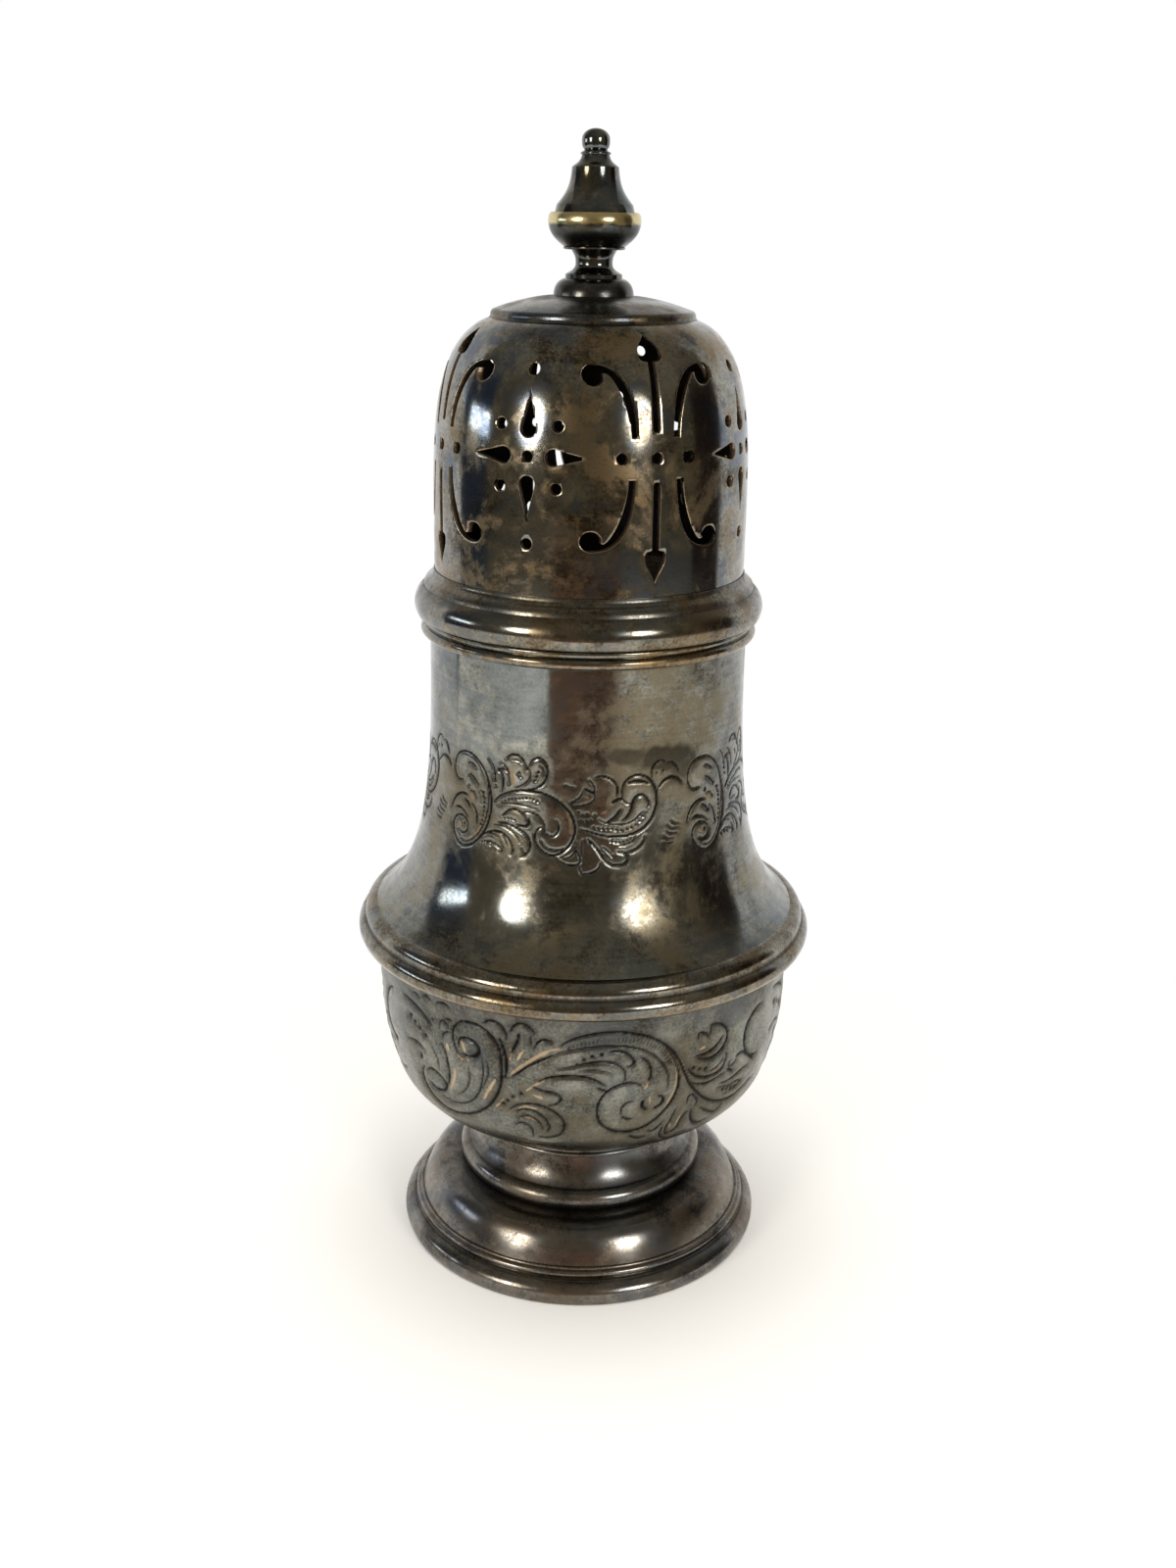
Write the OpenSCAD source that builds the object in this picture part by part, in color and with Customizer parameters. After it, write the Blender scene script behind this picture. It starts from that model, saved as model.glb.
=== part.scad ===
// Sugar caster: baluster body on a spread foot, lift-off pierced cover with a turned finial.
// Millimetres, +Z up, the origin is on the table under the axis. The front faces -Y.

/* [Foot] */
// Widest radius of the foot ring
foot_r = 30.2; // [29:0.1:34]
// Height of the foot ring
foot_ring_h = 3.7; // [3.2:0.1:4.2]
// Radius of the crease between the foot's dome and its flange
foot_crease_r = 27.05; // [25:0.05:27.2]
// Height of that crease above the table
foot_crease_z = 5.3; // [5:0.1:6]
// Diameter of the bead under the crease
foot_bead_d = 1.2; // [0.9:0.1:1.4]
// Widest radius of the knop above the dome
knop_r = 20.5; // [19.6:0.1:21.5]
// Height of the middle of the knop above the table
knop_z = 12.4; // [11.6:0.1:13]
// Radius of the knop's rounding
knop_round = 2; // [1.6:0.1:2.4]
// Radius of the stem where it meets the reeded wire
stem_r = 16.5; // [15.8:0.1:17.5]
// Height of the foot from the table to the top of its stem
foot_h = 20.1; // [18.5:0.1:23.5]
// Thickness of the foot's metal
foot_wall = 0.9; // [0.6:0.05:1.2]

/* [Stem wire] */
// Outer radius of the reeded wire under the bowl
wire_r = 19; // [18.6:0.1:20]
// Height of the wire at its outer edge
wire_h = 2.15; // [1.8:0.05:3]
// Diameter of each reed
reed_d = 0.75; // [0.55:0.05:0.9]

/* [Bowl] */
// Radius of the bowl at its waist
bowl_r = 33.3; // [31.5:0.1:34]
// Radius of the curve of the bowl's side
bowl_side_round = 39; // [34:0.5:50]
// Radius of the turn from the side to the bottom
bowl_turn_round = 10.7; // [8:0.1:14]
// Height of the flared lip above the waist
bowl_lip_h = 8.1; // [6:0.1:11]
// Thickness of the bowl's metal
bowl_wall = 0.9; // [0.6:0.05:1.3]

/* [Girdle] */
// Widest radius of the girdle, at its lower bead
girdle_r = 36.65; // [36:0.05:38]
// Height of the girdle
girdle_h = 5.8; // [5.2:0.1:7]
// Diameter of the lower bead
girdle_bead_d = 3.7; // [3.2:0.1:4]
// Radial width of the girdle, from its bore to the bead's edge
girdle_w = 4.85; // [4.4:0.05:6]
// How far the bead stands out past the bowl's lip
girdle_overhang = 2.55; // [1.8:0.05:3.2]

/* [Neck] */
// Outer radius of the straight upper neck
neck_r = 24.4; // [23:0.1:26]
// How far the shoulder lies in from the edge of the girdle's bead
shoulder_in = 3.05; // [2.4:0.05:3.6]
// Height of the neck from the girdle to the mouth
neck_h = 46.1; // [40:0.1:54]
// Height of the straight wall under the mouth
neck_straight_h = 5.4; // [4:0.1:8]
// Thickness of the neck's metal
neck_wall = 0.9; // [0.6:0.05:1.2]

/* [Mouth wire] */
// Widest radius of the mouth wire
mouth_r = 25.8; // [25.4:0.1:27]
// Height of the mouth wire below the lip
mouth_h = 2.3; // [2:0.1:3.2]
// Thickness of the lip over the neck's edge
mouth_lip = 0.5; // [0.3:0.05:0.8]

/* [Cover] */
// Outer radius of the pierced dome
dome_r = 23.6; // [22.5:0.1:24.2]
// Height of the dome, from the lip that it stands on to its flat top
dome_h = 43; // [40:0.1:50]
// Height of the dome's straight wall
dome_wall_h = 17.7; // [15:0.1:20]
// Thickness of the dome's metal
dome_wall = 0.8; // [0.6:0.05:1.1]
// Widest radius of the cover's moulding
cover_r = 26.7; // [26.3:0.1:28]
// Height of the cover's moulding
cover_moulding_h = 6.9; // [6.2:0.1:8]
// Height of the moulding's fat bead
cover_bead_h = 4.4; // [4:0.1:4.8]
// Thickness of the moulding's lip under the dome
cover_lip = 0.6; // [0.4:0.05:0.9]
// Radius of the crown plate
crown_r = 15; // [14:0.1:16.5]
// Height of the crown plate
crown_h = 3.1; // [2.6:0.1:4]
// Diameter of the bead round the crown plate's edge
crown_bead_d = 1.3; // [1:0.1:1.6]
// Depth of the bezel below the neck's edge
bezel_depth = 12; // [8:0.5:18]
// Height of the bezel inside the dome
bezel_grip = 5; // [3:0.5:6]
// Thickness of the bezel
bezel_wall = 0.8; // [0.6:0.05:1]

/* [Piercing] */
// Number of cross motifs, and of fleur motifs between them
motif_count = 4; // [3:1:4]
// Angle of the first cross from the front
motif_angle = -22; // [-45:0.5:45]
// Height of the motifs' middle above the dome's lower edge
motif_z = 25.6; // [24.5:0.1:26.5]
// Diameter of the round holes
hole_d = 1.6; // [1:0.1:1.8]
// Length of the cross's drops
drop_h = 5.7; // [5:0.1:6.2]
// Width of the drops
drop_w = 2.3; // [1.8:0.1:2.4]
// Distance of the drops from the cross's middle
drop_from = 2.6; // [2.4:0.1:2.8]
// Distance of the corner holes from the cross's middle, along and across
corner_at = 4.2; // [4:0.1:4.5]
// Distance of the end hole below and above the cross's middle
end_hole_at = [12, 11.5];
// Width of the arrow slots
slot_w = 1; // [0.8:0.1:1.3]
// The upper arrow's start and tip above the fleur's middle, and its head's width and height
upper_arrow = [3.9, 16.3, 3.4, 3.7];
// The lower arrow's start and tip below the fleur's middle, and its head's width and height
lower_arrow = [3.7, 17, 3.1, 4.3];
// Distance of the side holes from the fleur's middle
side_hole_at = 5; // [4.6:0.1:5.4]
// The upper scroll's root across and up, its height and its reach
upper_scroll = [3.1, 2.8, 8.1, 5.1];
// The lower scroll's root across and down, its height and its reach
lower_scroll = [3.6, 2.9, 8.4, 5.5];
// Radius of the scrolls' round bulb
bulb_r = 1.4; // [1.1:0.05:1.5]
// Width of the scrolls at their thin end
tail_w = 0.9; // [0.7:0.05:1.1]

/* [Finial] */
// Radius of the finial's button
button_r = 5.85; // [5:0.05:6.5]
// Height of the button
button_h = 2.4; // [2:0.1:3]
// Radius of the thin ring on the button
finial_ring_r = 4.15; // [3.8:0.05:4.6]
// Radius of the throat
throat_r = 2.7; // [2.4:0.05:3.2]
// Height of the throat with the ring below it and the ledge above it
throat_h = 4.4; // [3.8:0.1:5.5]
// Widest radius of the cup
cup_r = 6.7; // [5.8:0.05:7.5]
// Height of the cup
cup_h = 4.6; // [3.8:0.1:5.5]
// Radius of the bell's skirt
bell_r = 5.7; // [5:0.05:5.8]
// Height of the bell
bell_h = 7.2; // [6:0.1:9]
// Radius of the bell near its top
bell_top_r = 3.37; // [3:0.05:3.8]
// Radius of the knob
knob_r = 2; // [1.7:0.05:2.3]
// Height of the knob and its collar
knob_h = 4; // [3.4:0.1:5]
// Radius of the stud
stud_r = 1.5; // [1.2:0.05:1.7]
// Depth of the stud in the finial
stud_grip = 8; // [6:0.5:10]
// Radius of the washer
washer_r = 4; // [3.6:0.1:5]
// Thickness of the washer
washer_h = 0.6; // [0.4:0.05:1]
// Radius of the nut over its corners
nut_r = 3.2; // [2.8:0.1:3.6]
// Height of the nut
nut_h = 2; // [1.6:0.1:2.6]

/* [Clearances] */
// Radial clearance between soldered rings and the walls that they go round
joint_gap = 0.05; // [0.02:0.01:0.1]
// Radial clearance of the bezel in the neck
slide_gap = 0.06; // [0.03:0.01:0.1]
// Radial clearance of the dome on the bezel
turn_gap = 0.08; // [0.03:0.01:0.1]
// Height of the dark gap between the mouth wire and the closed cover
seat_gap = 0.3; // [0.2:0.05:0.6]

/* [Hidden] */
$fn = 96;
steps = 9;
saw_steps = 6;
eps = 0.01;
far = 80;
tarnish = "#4f4c47";
worn = "#8a6c48";
blackened = "#2f2e2b";

// Small edges: chamfers, steps and shoulders of the turned pieces
chamfer = 0.3;
step = 0.1;
flange_drop = 1;
flange_in = 1.6;
ring_lap = 1.4;
mouth_step = 0.4;
mouth_reed_r = 0.45;
crease_reed_r = 0.28;
ledge_h = 0.5;
ledge_out = 0.35;
throat_flare = 0.65;
bell_band_h = 1;
bell_shoulder_h = 1.3;
collar_out = 0.15;
knob_neck_in = 0.38;
stud_end = 0.6;

// The foot ring's roundings, the foot's ledge, and the bead and reed on its edge
ring_mid_z = foot_ring_h * 0.4;
ring_under = ring_mid_z * 1.6;
ring_over = foot_ring_h * 0.42;
flange_z = foot_ring_h - flange_drop;
flange_r = foot_r - flange_in;
ring_bore_r = flange_r - ring_lap;
foot_bead = [foot_crease_r, foot_crease_z] + foot_bead_d * [0.46, -0.79];
crease_reed = [foot_crease_r + 0.7 * crease_reed_r, foot_crease_z - 0.9 * crease_reed_r];

// The bowl's arcs: side, turn and a round bottom centred on the axis
side_angle = 20;
turn_angle = 58.3;
bowl_seat_r = wire_r;
turn_c = [bowl_r - bowl_side_round + (bowl_side_round - bowl_turn_round) * cos(side_angle),
          -(bowl_side_round - bowl_turn_round) * sin(side_angle)];
turn_end = turn_c + bowl_turn_round * [cos(turn_angle), -sin(turn_angle)];
bottom_round = turn_end.x / cos(turn_angle);
bottom_c = turn_end.y + turn_end.x * tan(turn_angle);
bowl_seat_drop = bottom_c - sqrt(bottom_round ^ 2 - bowl_seat_r ^ 2);

// The girdle's bore, the bowl's lip below it and the neck's shoulder on top of it
girdle_bore_r = girdle_r - girdle_w;
lip_r = girdle_r - girdle_overhang;
shoulder_r = girdle_r - shoulder_in;

// Levels of the body
waist_z = foot_h + wire_h - bowl_seat_drop;
seam_z = waist_z + bowl_lip_h;
shoulder_z = seam_z + girdle_h;
mouth_z = shoulder_z + neck_h;
lip_z = mouth_z + mouth_lip;

// Levels and radii of the cover
cover_z = lip_z + seat_gap;
dome_z = cover_z + cover_lip;
crown_z = dome_z + dome_h;
finial_z = crown_z + crown_h;
dome_bore_r = dome_r - dome_wall;
neck_bore_r = neck_r - neck_wall;
bezel_r = neck_bore_r - slide_gap;
bezel_top_r = dome_bore_r - turn_gap;
stud_bore_r = stud_r + joint_gap;
nut_top_z = crown_z - dome_wall - washer_h;

// Points on a smooth curve that leaves p at angle a and comes into q at angle b;
// k holds the reach of the two ends as shares of the distance.
function curve(p, a, q, b, k = [0.4, 0.4], n = steps) =
    let (d = norm(q - p), u = p + k[0] * d * [cos(a), sin(a)], v = q - k[1] * d * [cos(b), sin(b)])
    [for (i = [0:n]) let (t = i / n, s = 1 - t)
        s ^ 3 * p + 3 * s ^ 2 * t * u + 3 * s * t ^ 2 * v + t ^ 3 * q];

// Points on a circular arc
function arc(c, r, a, b, n = steps) =
    [for (i = [0:n]) let (t = a + (b - a) * i / n) c + r * [cos(t), sin(t)]];

// A path moved to its left by w, without crossing the axis
function inset(path, w) =
    let (n = len(path) - 1)
    [for (i = [0:n]) let (t = path[min(i + 1, n)] - path[max(i - 1, 0)], m = t / norm(t))
        [max(0, path[i].x - w * m.y), path[i].y + w * m.x]];

function reverse(path) = [for (i = [len(path) - 1:-1:0]) path[i]];

// A path without points that repeat
function distinct(path) = [for (i = [0:len(path) - 1]) if (i == 0 || norm(path[i] - path[i - 1]) > eps) path[i]];

// A sheet inside a path that runs upwards, cut level at its ends; its inner side lies w inside the core,
// which is the path without its small beads
module sheet(path, w, z0, z1, core = []) {
    clean = distinct(path);
    inner = len(core) > 0 ? distinct(core) : clean;
    rotate_extrude()
        intersection() {
            polygon(concat(clean, reverse(inset(inner, w))));
            translate([0, z0]) square([far, z1 - z0]);
        }
}

// The bowl's outside from the axis to its lip
function bowl_path() = concat(
    arc([0, waist_z + bottom_c], bottom_round, -90, -turn_angle),
    arc([turn_c.x, waist_z + turn_c.y], bowl_turn_round, -turn_angle, -side_angle),
    arc([bowl_r - bowl_side_round, waist_z], bowl_side_round, -side_angle, 0),
    curve([bowl_r, waist_z], 90, [lip_r, seam_z], 80));

// The foot's outside from its crease to the top of its stem
function foot_rise() = concat(
    curve([foot_crease_r, foot_crease_z], 112, [knop_r - knop_round * 0.3, knop_z - knop_round * 0.7], 180,
          [0.55, 0.5]),
    arc([knop_r - knop_round, knop_z], knop_round, -42, 75),
    curve([knop_r - knop_round * 0.75, knop_z + knop_round * 0.97], 132, [stem_r, foot_h], 107, [0.35, 0.4]));

// The foot's flange, which the foot ring holds
function foot_flange() = [[flange_r, flange_z], [flange_r, foot_ring_h]];

// The bead and the reed between the flange and the crease
function foot_edge() = concat(
    arc(foot_bead, foot_bead_d / 2, -45, 75),
    arc(crease_reed, crease_reed_r, -5, 110, 4));

// The dome's outside from its lower edge to the axis
function dome_path() = concat(
    [[dome_r, dome_z]],
    curve([dome_r, dome_z + dome_wall_h], 90, [crown_r - step, crown_z], 162, [0.52, 0.28]),
    [[0, crown_z]]);

module foot_ring() {
    color(tarnish)
        rotate_extrude()
            polygon(concat(
                [[ring_bore_r, 0]],
                arc([foot_r - ring_under, ring_mid_z], ring_under, -asin(ring_mid_z / ring_under), 0),
                arc([foot_r - ring_over, foot_ring_h - ring_over], ring_over, 0, 85),
                [[flange_r + joint_gap, foot_ring_h], [flange_r + joint_gap, flange_z], [ring_bore_r, flange_z]]));
}

module foot() {
    color(tarnish)
        sheet(concat(foot_flange(), foot_edge(), foot_rise()), foot_wall, flange_z, foot_h,
              concat(foot_flange(), foot_rise()));
}

module stem_wire() {
    color(tarnish)
        difference() {
            rotate_extrude() {
                translate([stem_r - foot_wall, foot_h])
                    square([wire_r - reed_d / 2 - stem_r + foot_wall, wire_h * 1.5]);
                for (i = [0:1])
                    translate([wire_r - reed_d / 2, foot_h + reed_d * (i + 0.5)]) circle(d = reed_d);
            }
            rotate_extrude()
                polygon(concat(distinct(bowl_path()), [[0, seam_z]]));
        }
}

module lower_bowl() {
    color(tarnish) sheet(bowl_path(), bowl_wall, 0, seam_z);
}

module girdle_moulding() {
    bead_c = [girdle_r - girdle_bead_d / 2, girdle_bead_d * 0.46];
    band_r = girdle_h * 0.336;
    color(worn)
        rotate_extrude()
            intersection() {
                translate([girdle_bore_r, seam_z]) square([far, girdle_h]);
                union() {
                    translate([bead_c.x, seam_z + bead_c.y]) circle(d = girdle_bead_d);
                    translate([girdle_bore_r, seam_z]) square([bead_c.x - girdle_bore_r, bead_c.y]);
                    translate([shoulder_r, shoulder_z - band_r]) circle(band_r);
                    translate([girdle_bore_r, seam_z]) square([shoulder_r - girdle_bore_r, girdle_h]);
                }
            }
}

module neck() {
    path = concat(
        curve([shoulder_r, shoulder_z], 143, [neck_r, mouth_z - neck_straight_h], 90, [0.19, 0.66]),
        [[neck_r, mouth_z]]);
    color(tarnish) sheet(path, neck_wall, shoulder_z, mouth_z);
}

module mouth_wire() {
    bead_r = mouth_h * 0.4;
    color(worn)
        rotate_extrude()
            difference() {
                union() {
                    translate([mouth_r - bead_r, mouth_z - mouth_h + bead_r]) circle(bead_r);
                    translate([mouth_r - mouth_step - mouth_reed_r, lip_z - mouth_reed_r]) circle(mouth_reed_r);
                    translate([neck_bore_r, mouth_z - mouth_h])
                        square([mouth_r - bead_r - neck_bore_r, mouth_h + mouth_lip]);
                }
                translate([0, shoulder_z]) square([neck_r + joint_gap, neck_h]);
            }
}

module cover_bezel() {
    sleeve_z = cover_z - turn_gap;
    color(tarnish)
        rotate_extrude()
            polygon([
                [bezel_r, mouth_z - bezel_depth], [bezel_r, sleeve_z], [bezel_top_r, sleeve_z],
                [bezel_top_r, cover_z + bezel_grip], [bezel_top_r - bezel_wall, cover_z + bezel_grip],
                [bezel_top_r - bezel_wall, sleeve_z - 2 * bezel_wall],
                [bezel_r - bezel_wall, sleeve_z - 3 * bezel_wall],
                [bezel_r - bezel_wall, mouth_z - bezel_depth]]);
}

module cover_moulding() {
    bead_round = cover_bead_h * 0.78;
    bead_z = cover_z + cover_bead_h * 0.39;
    crease_r = cover_r - bead_round * 0.38;
    wall_r = dome_r + joint_gap;
    color(worn)
        rotate_extrude()
            polygon(concat(
                [[dome_bore_r, cover_z]],
                arc([cover_r - bead_round, bead_z], bead_round, -30, 52),
                curve([crease_r - step, cover_z + cover_bead_h], 100, [wall_r + step, cover_z + cover_moulding_h], 90,
                      [0.6, 0.5]),
                [[wall_r, cover_z + cover_moulding_h], [wall_r, dome_z], [dome_bore_r, dome_z]]));
}

// A drop that points up from its round end, with its round end's foot at the origin
module drop(length, width) {
    r = width / 2;
    side = asin(r / (length - r));
    polygon(concat(arc([0, r], r, 180 - side, 360 + side, saw_steps), [[0, length]]));
}

// Four drops round a hole, with round holes in the corners and at the ends
module cross_motif() {
    circle(d = hole_d);
    for (i = [0:3])
        rotate(90 * i) {
            translate([0, drop_from]) drop(drop_h, drop_w);
            translate([corner_at, corner_at]) circle(d = hole_d);
        }
    for (y = [-end_hole_at[0], end_hole_at[1]])
        translate([0, y]) circle(d = hole_d);
}

// An arrow slot that points up
module arrow(shape) {
    y0 = shape[0];
    y1 = shape[1];
    head_w = shape[2];
    barb_y = y1 - shape[3];
    side = concat(
        arc([0, y0], slot_w / 2, -60, 0, 2),
        [[slot_w / 2, barb_y]],
        arc([head_w * 0.28, barb_y + head_w * 0.24], head_w * 0.22, -60, 20, 3),
        curve([head_w * 0.48, barb_y + head_w * 0.42], 100, [0, y1], 112, [0.3, 0.35], 4));
    left = [for (p = reverse(side)) if (p.x > eps) [-p.x, p.y]];
    polygon(concat(side, left));
}

// A scroll that hangs from its thin end and curls out into a round bulb, on the right side
module scroll(shape) {
    top = [shape[0], -shape[1]];
    bulb = [top.x + shape[3], top.y - shape[2]];
    tail = [tail_w / 2, 0];
    polygon(concat(
        curve(top - tail, -88, bulb + bulb_r * [cos(-100), sin(-100)], -2, [0.45, 0.4], saw_steps),
        arc(bulb, bulb_r, -75, 170, saw_steps),
        curve(bulb + bulb_r * [cos(190), sin(190)], 225, top + tail, 92, [0.12, 0.5], saw_steps)));
}

// Two arrows, four scrolls and a row of three holes
module fleur_motif() {
    arrow(upper_arrow);
    mirror([0, 1]) arrow(lower_arrow);
    for (s = [0, 1])
        mirror([s, 0]) {
            translate([side_hole_at, 0]) circle(d = hole_d);
            scroll(lower_scroll);
            mirror([0, 1]) scroll(upper_scroll);
        }
    circle(d = hole_d);
}

// Cuts a flat motif through the dome's wall at an angle from the front
module pierce(angle) {
    rotate([0, 0, angle])
        translate([0, 0, dome_z + motif_z])
            rotate([90, 0, 0])
                linear_extrude(far) children();
}

module pierced_dome() {
    color(tarnish)
        difference() {
            sheet(dome_path(), dome_wall, dome_z, crown_z);
            for (i = [0:motif_count - 1]) {
                pierce(motif_angle + i * 360 / motif_count) cross_motif();
                pierce(motif_angle + (i + 0.5) * 360 / motif_count) fleur_motif();
            }
            cylinder(r = stud_bore_r, h = 2 * crown_z);
        }
}

module crown_plate() {
    bead_r = crown_bead_d / 2;
    color(tarnish)
        rotate_extrude()
            polygon(concat(
                [[stud_bore_r, crown_z]],
                arc([crown_r - bead_r, crown_z + bead_r], bead_r, -80, 95),
                curve([crown_r - 1.5 * bead_r, crown_z + 1.8 * bead_r], 155, [button_r + joint_gap, finial_z], 176,
                      [0.25, 0.4]),
                [[stud_bore_r, finial_z]]));
}

module finial() {
    ring_z = finial_z + button_h;
    cup_z = ring_z + throat_h;
    bell_z = cup_z + cup_h;
    knob_z = bell_z + bell_h;
    ledge_r = finial_ring_r + ledge_out;
    color(blackened)
        difference() {
            rotate_extrude()
                polygon(concat(
                    [[0, finial_z]],
                    curve([button_r, finial_z], 92, [finial_ring_r, ring_z], 165),
                    [[finial_ring_r, ring_z + ledge_h]],
                    curve([finial_ring_r - step, ring_z + ledge_h + step], 150, [throat_r, ring_z + throat_h * 0.46], 90),
                    curve([throat_r, ring_z + throat_h * 0.5], 90, [throat_r + throat_flare, cup_z - ledge_h], 58),
                    [[ledge_r, cup_z - ledge_h], [ledge_r, cup_z]],
                    curve([ledge_r + step, cup_z], 40, [cup_r, cup_z + cup_h * 0.75], 88),
                    [[cup_r, cup_z + cup_h * 0.9], [bell_r + 2 * chamfer, bell_z - step / 2], [bell_r, bell_z],
                     [bell_r - step, bell_z + bell_band_h]],
                    curve([bell_r - chamfer, bell_z + bell_band_h + step], 130, [bell_top_r, knob_z - bell_shoulder_h], 94,
                          [0.35, 0.45]),
                    curve([bell_top_r - step / 2, knob_z - bell_shoulder_h + step], 100, [knob_r, knob_z - 2 * step], 165),
                    [[knob_r + collar_out, knob_z + knob_h * 0.12], [knob_r + step, knob_z + knob_h * 0.22]],
                    curve([knob_r - knob_neck_in, knob_z + knob_h * 0.28], 45, [knob_r, knob_z + knob_h * 0.6], 90),
                    curve([knob_r, knob_z + knob_h * 0.62], 90, [0, knob_z + knob_h], 180, [0.35, 0.44])));
            translate([0, 0, finial_z - eps]) cylinder(r = stud_bore_r, h = stud_grip + eps);
        }
}

module finial_stud() {
    foot_z = nut_top_z - nut_h - stud_end;
    color(worn) translate([0, 0, foot_z]) cylinder(r = stud_r, h = finial_z + stud_grip - foot_z);
}

module finial_washer() {
    color(worn)
        translate([0, 0, nut_top_z])
            difference() {
                cylinder(r = washer_r, h = washer_h);
                translate([0, 0, -eps]) cylinder(r = stud_bore_r, h = washer_h + 2 * eps);
            }
}

module finial_nut() {
    color(worn)
        translate([0, 0, nut_top_z - nut_h])
            difference() {
                cylinder(r = nut_r, h = nut_h, $fn = 6);
                translate([0, 0, -eps]) cylinder(r = stud_bore_r, h = nut_h + 2 * eps);
            }
}

foot_ring();
foot();
stem_wire();
lower_bowl();
girdle_moulding();
neck();
mouth_wire();
cover_bezel();
cover_moulding();
pierced_dome();
crown_plate();
finial();
finial_stud();
finial_washer();
finial_nut();
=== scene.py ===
import math
import bpy
import bmesh
import numpy as np
from mathutils import Matrix, Vector


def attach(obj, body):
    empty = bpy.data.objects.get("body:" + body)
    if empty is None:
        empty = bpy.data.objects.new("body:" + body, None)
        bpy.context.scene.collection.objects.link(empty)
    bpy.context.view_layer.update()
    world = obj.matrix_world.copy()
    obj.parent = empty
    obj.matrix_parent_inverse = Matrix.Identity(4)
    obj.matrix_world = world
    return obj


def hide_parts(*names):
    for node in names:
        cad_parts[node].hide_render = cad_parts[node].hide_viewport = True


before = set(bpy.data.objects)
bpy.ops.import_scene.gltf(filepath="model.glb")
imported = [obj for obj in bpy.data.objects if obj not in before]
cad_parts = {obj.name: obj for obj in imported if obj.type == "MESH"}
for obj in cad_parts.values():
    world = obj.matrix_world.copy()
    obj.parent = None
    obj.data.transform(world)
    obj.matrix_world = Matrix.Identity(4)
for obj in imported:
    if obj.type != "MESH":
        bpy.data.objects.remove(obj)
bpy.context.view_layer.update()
mm = 0.001
print("frame loaded")


def linear(hexColour):
    parts = [int(hexColour[i:i + 2], 16) / 255 for i in (1, 3, 5)]
    return tuple(p / 12.92 if p <= 0.04045 else ((p + 0.055) / 1.055) ** 2.4 for p in parts) + (1.0,)


def addNode(tree, kind, settings=None, links=None):
    node = tree.nodes.new("ShaderNode" + kind)
    for key, value in (settings or {}).items():
        if isinstance(key, int) or key in node.inputs:
            node.inputs[key].default_value = value
        else:
            setattr(node, key, value)
    for key, source in (links or {}).items():
        tree.links.new(source, node.inputs[key])
    return node


def setStops(ramp, stops):
    elements = ramp.color_ramp.elements
    while len(elements) < len(stops):
        elements.new(0.5)
    for element, (stop, colour) in zip(elements, stops):
        element.position = stop
        element.color = linear(colour)


# Camera: fitted to the ellipses and the outline of the caster in the photograph
cameraSetup = {"place": (0.0, -0.2455, 0.1614), "pitch": 18.93, "yaw": 0.09, "roll": 0.96,
               "lens": 37.125, "sensor": 36, "clip": 0.01}


def buildCamera(setup):
    pitch, yaw, roll = (math.radians(setup[k]) for k in ("pitch", "yaw", "roll"))
    ahead = Vector((math.sin(yaw) * math.cos(pitch), math.cos(yaw) * math.cos(pitch), -math.sin(pitch)))
    right = Vector((math.cos(yaw), -math.sin(yaw), 0.0))
    up = right.cross(ahead)
    tiltedRight = math.cos(roll) * right + math.sin(roll) * up
    tiltedUp = math.cos(roll) * up - math.sin(roll) * right
    data = bpy.data.cameras.new("camera")
    data.lens = setup["lens"]
    data.sensor_width = setup["sensor"]
    data.clip_start = setup["clip"]
    camera = bpy.data.objects.new("camera", data)
    turn = Matrix((tiltedRight, tiltedUp, -ahead)).transposed().to_4x4()
    camera.matrix_world = Matrix.Translation(setup["place"]) @ turn
    bpy.context.scene.collection.objects.link(camera)
    bpy.context.scene.camera = camera


buildCamera(cameraSetup)
bpy.context.scene.view_settings.view_transform = "Standard"
print("camera placed")

# Room: white screen behind, dark strips at its edges, dim room in front, two round lamps beside the camera
room = {
    "dim": "#736a58", "ceiling": "#8f897d", "screen": "#ffffff", "floor": "#fbfaf7",
    "leftStrip": "#3a4354", "rightStrip": "#382e29", "stripTurn": 0.2,
    # where they start, from 0 in front to 1 behind, with half the blur of the edge
    "stripFrom": 0.41, "stripBlur": 0.012, "screenFrom": 0.65, "screenBlur": 0.01,
    "ceilingFrom": 0.25, "ceilingFull": 0.85,
    "floorRadius": 0.46, "floorBack": 0.088, "floorGlow": 0.14, "paintRoughness": 0.7,
    "curtain": "#8a6650", "curtainSize": (0.24, 0.064), "curtainPlace": (-0.012, -0.265, 0.033),
    # lamps and window: name, degrees round from the front, height, watts
    "lamps": [("leftLamp", -43.5, 0.285, 2.2), ("rightLamp", 34.5, 0.31, 2.2)],
    "lampDistance": 0.8, "lampSize": 0.26, "lampColour": "#fffaf2", "lampAim": (0, 0, 0.08),
    "window": ("leftWindow", -88, 0.205, 0.5), "windowSize": (0.28, 0.09), "windowColour": "#dfe9f5",
    "fill": 9.0, "fillSize": 1.2, "fillHeight": 1.1,
}


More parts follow.
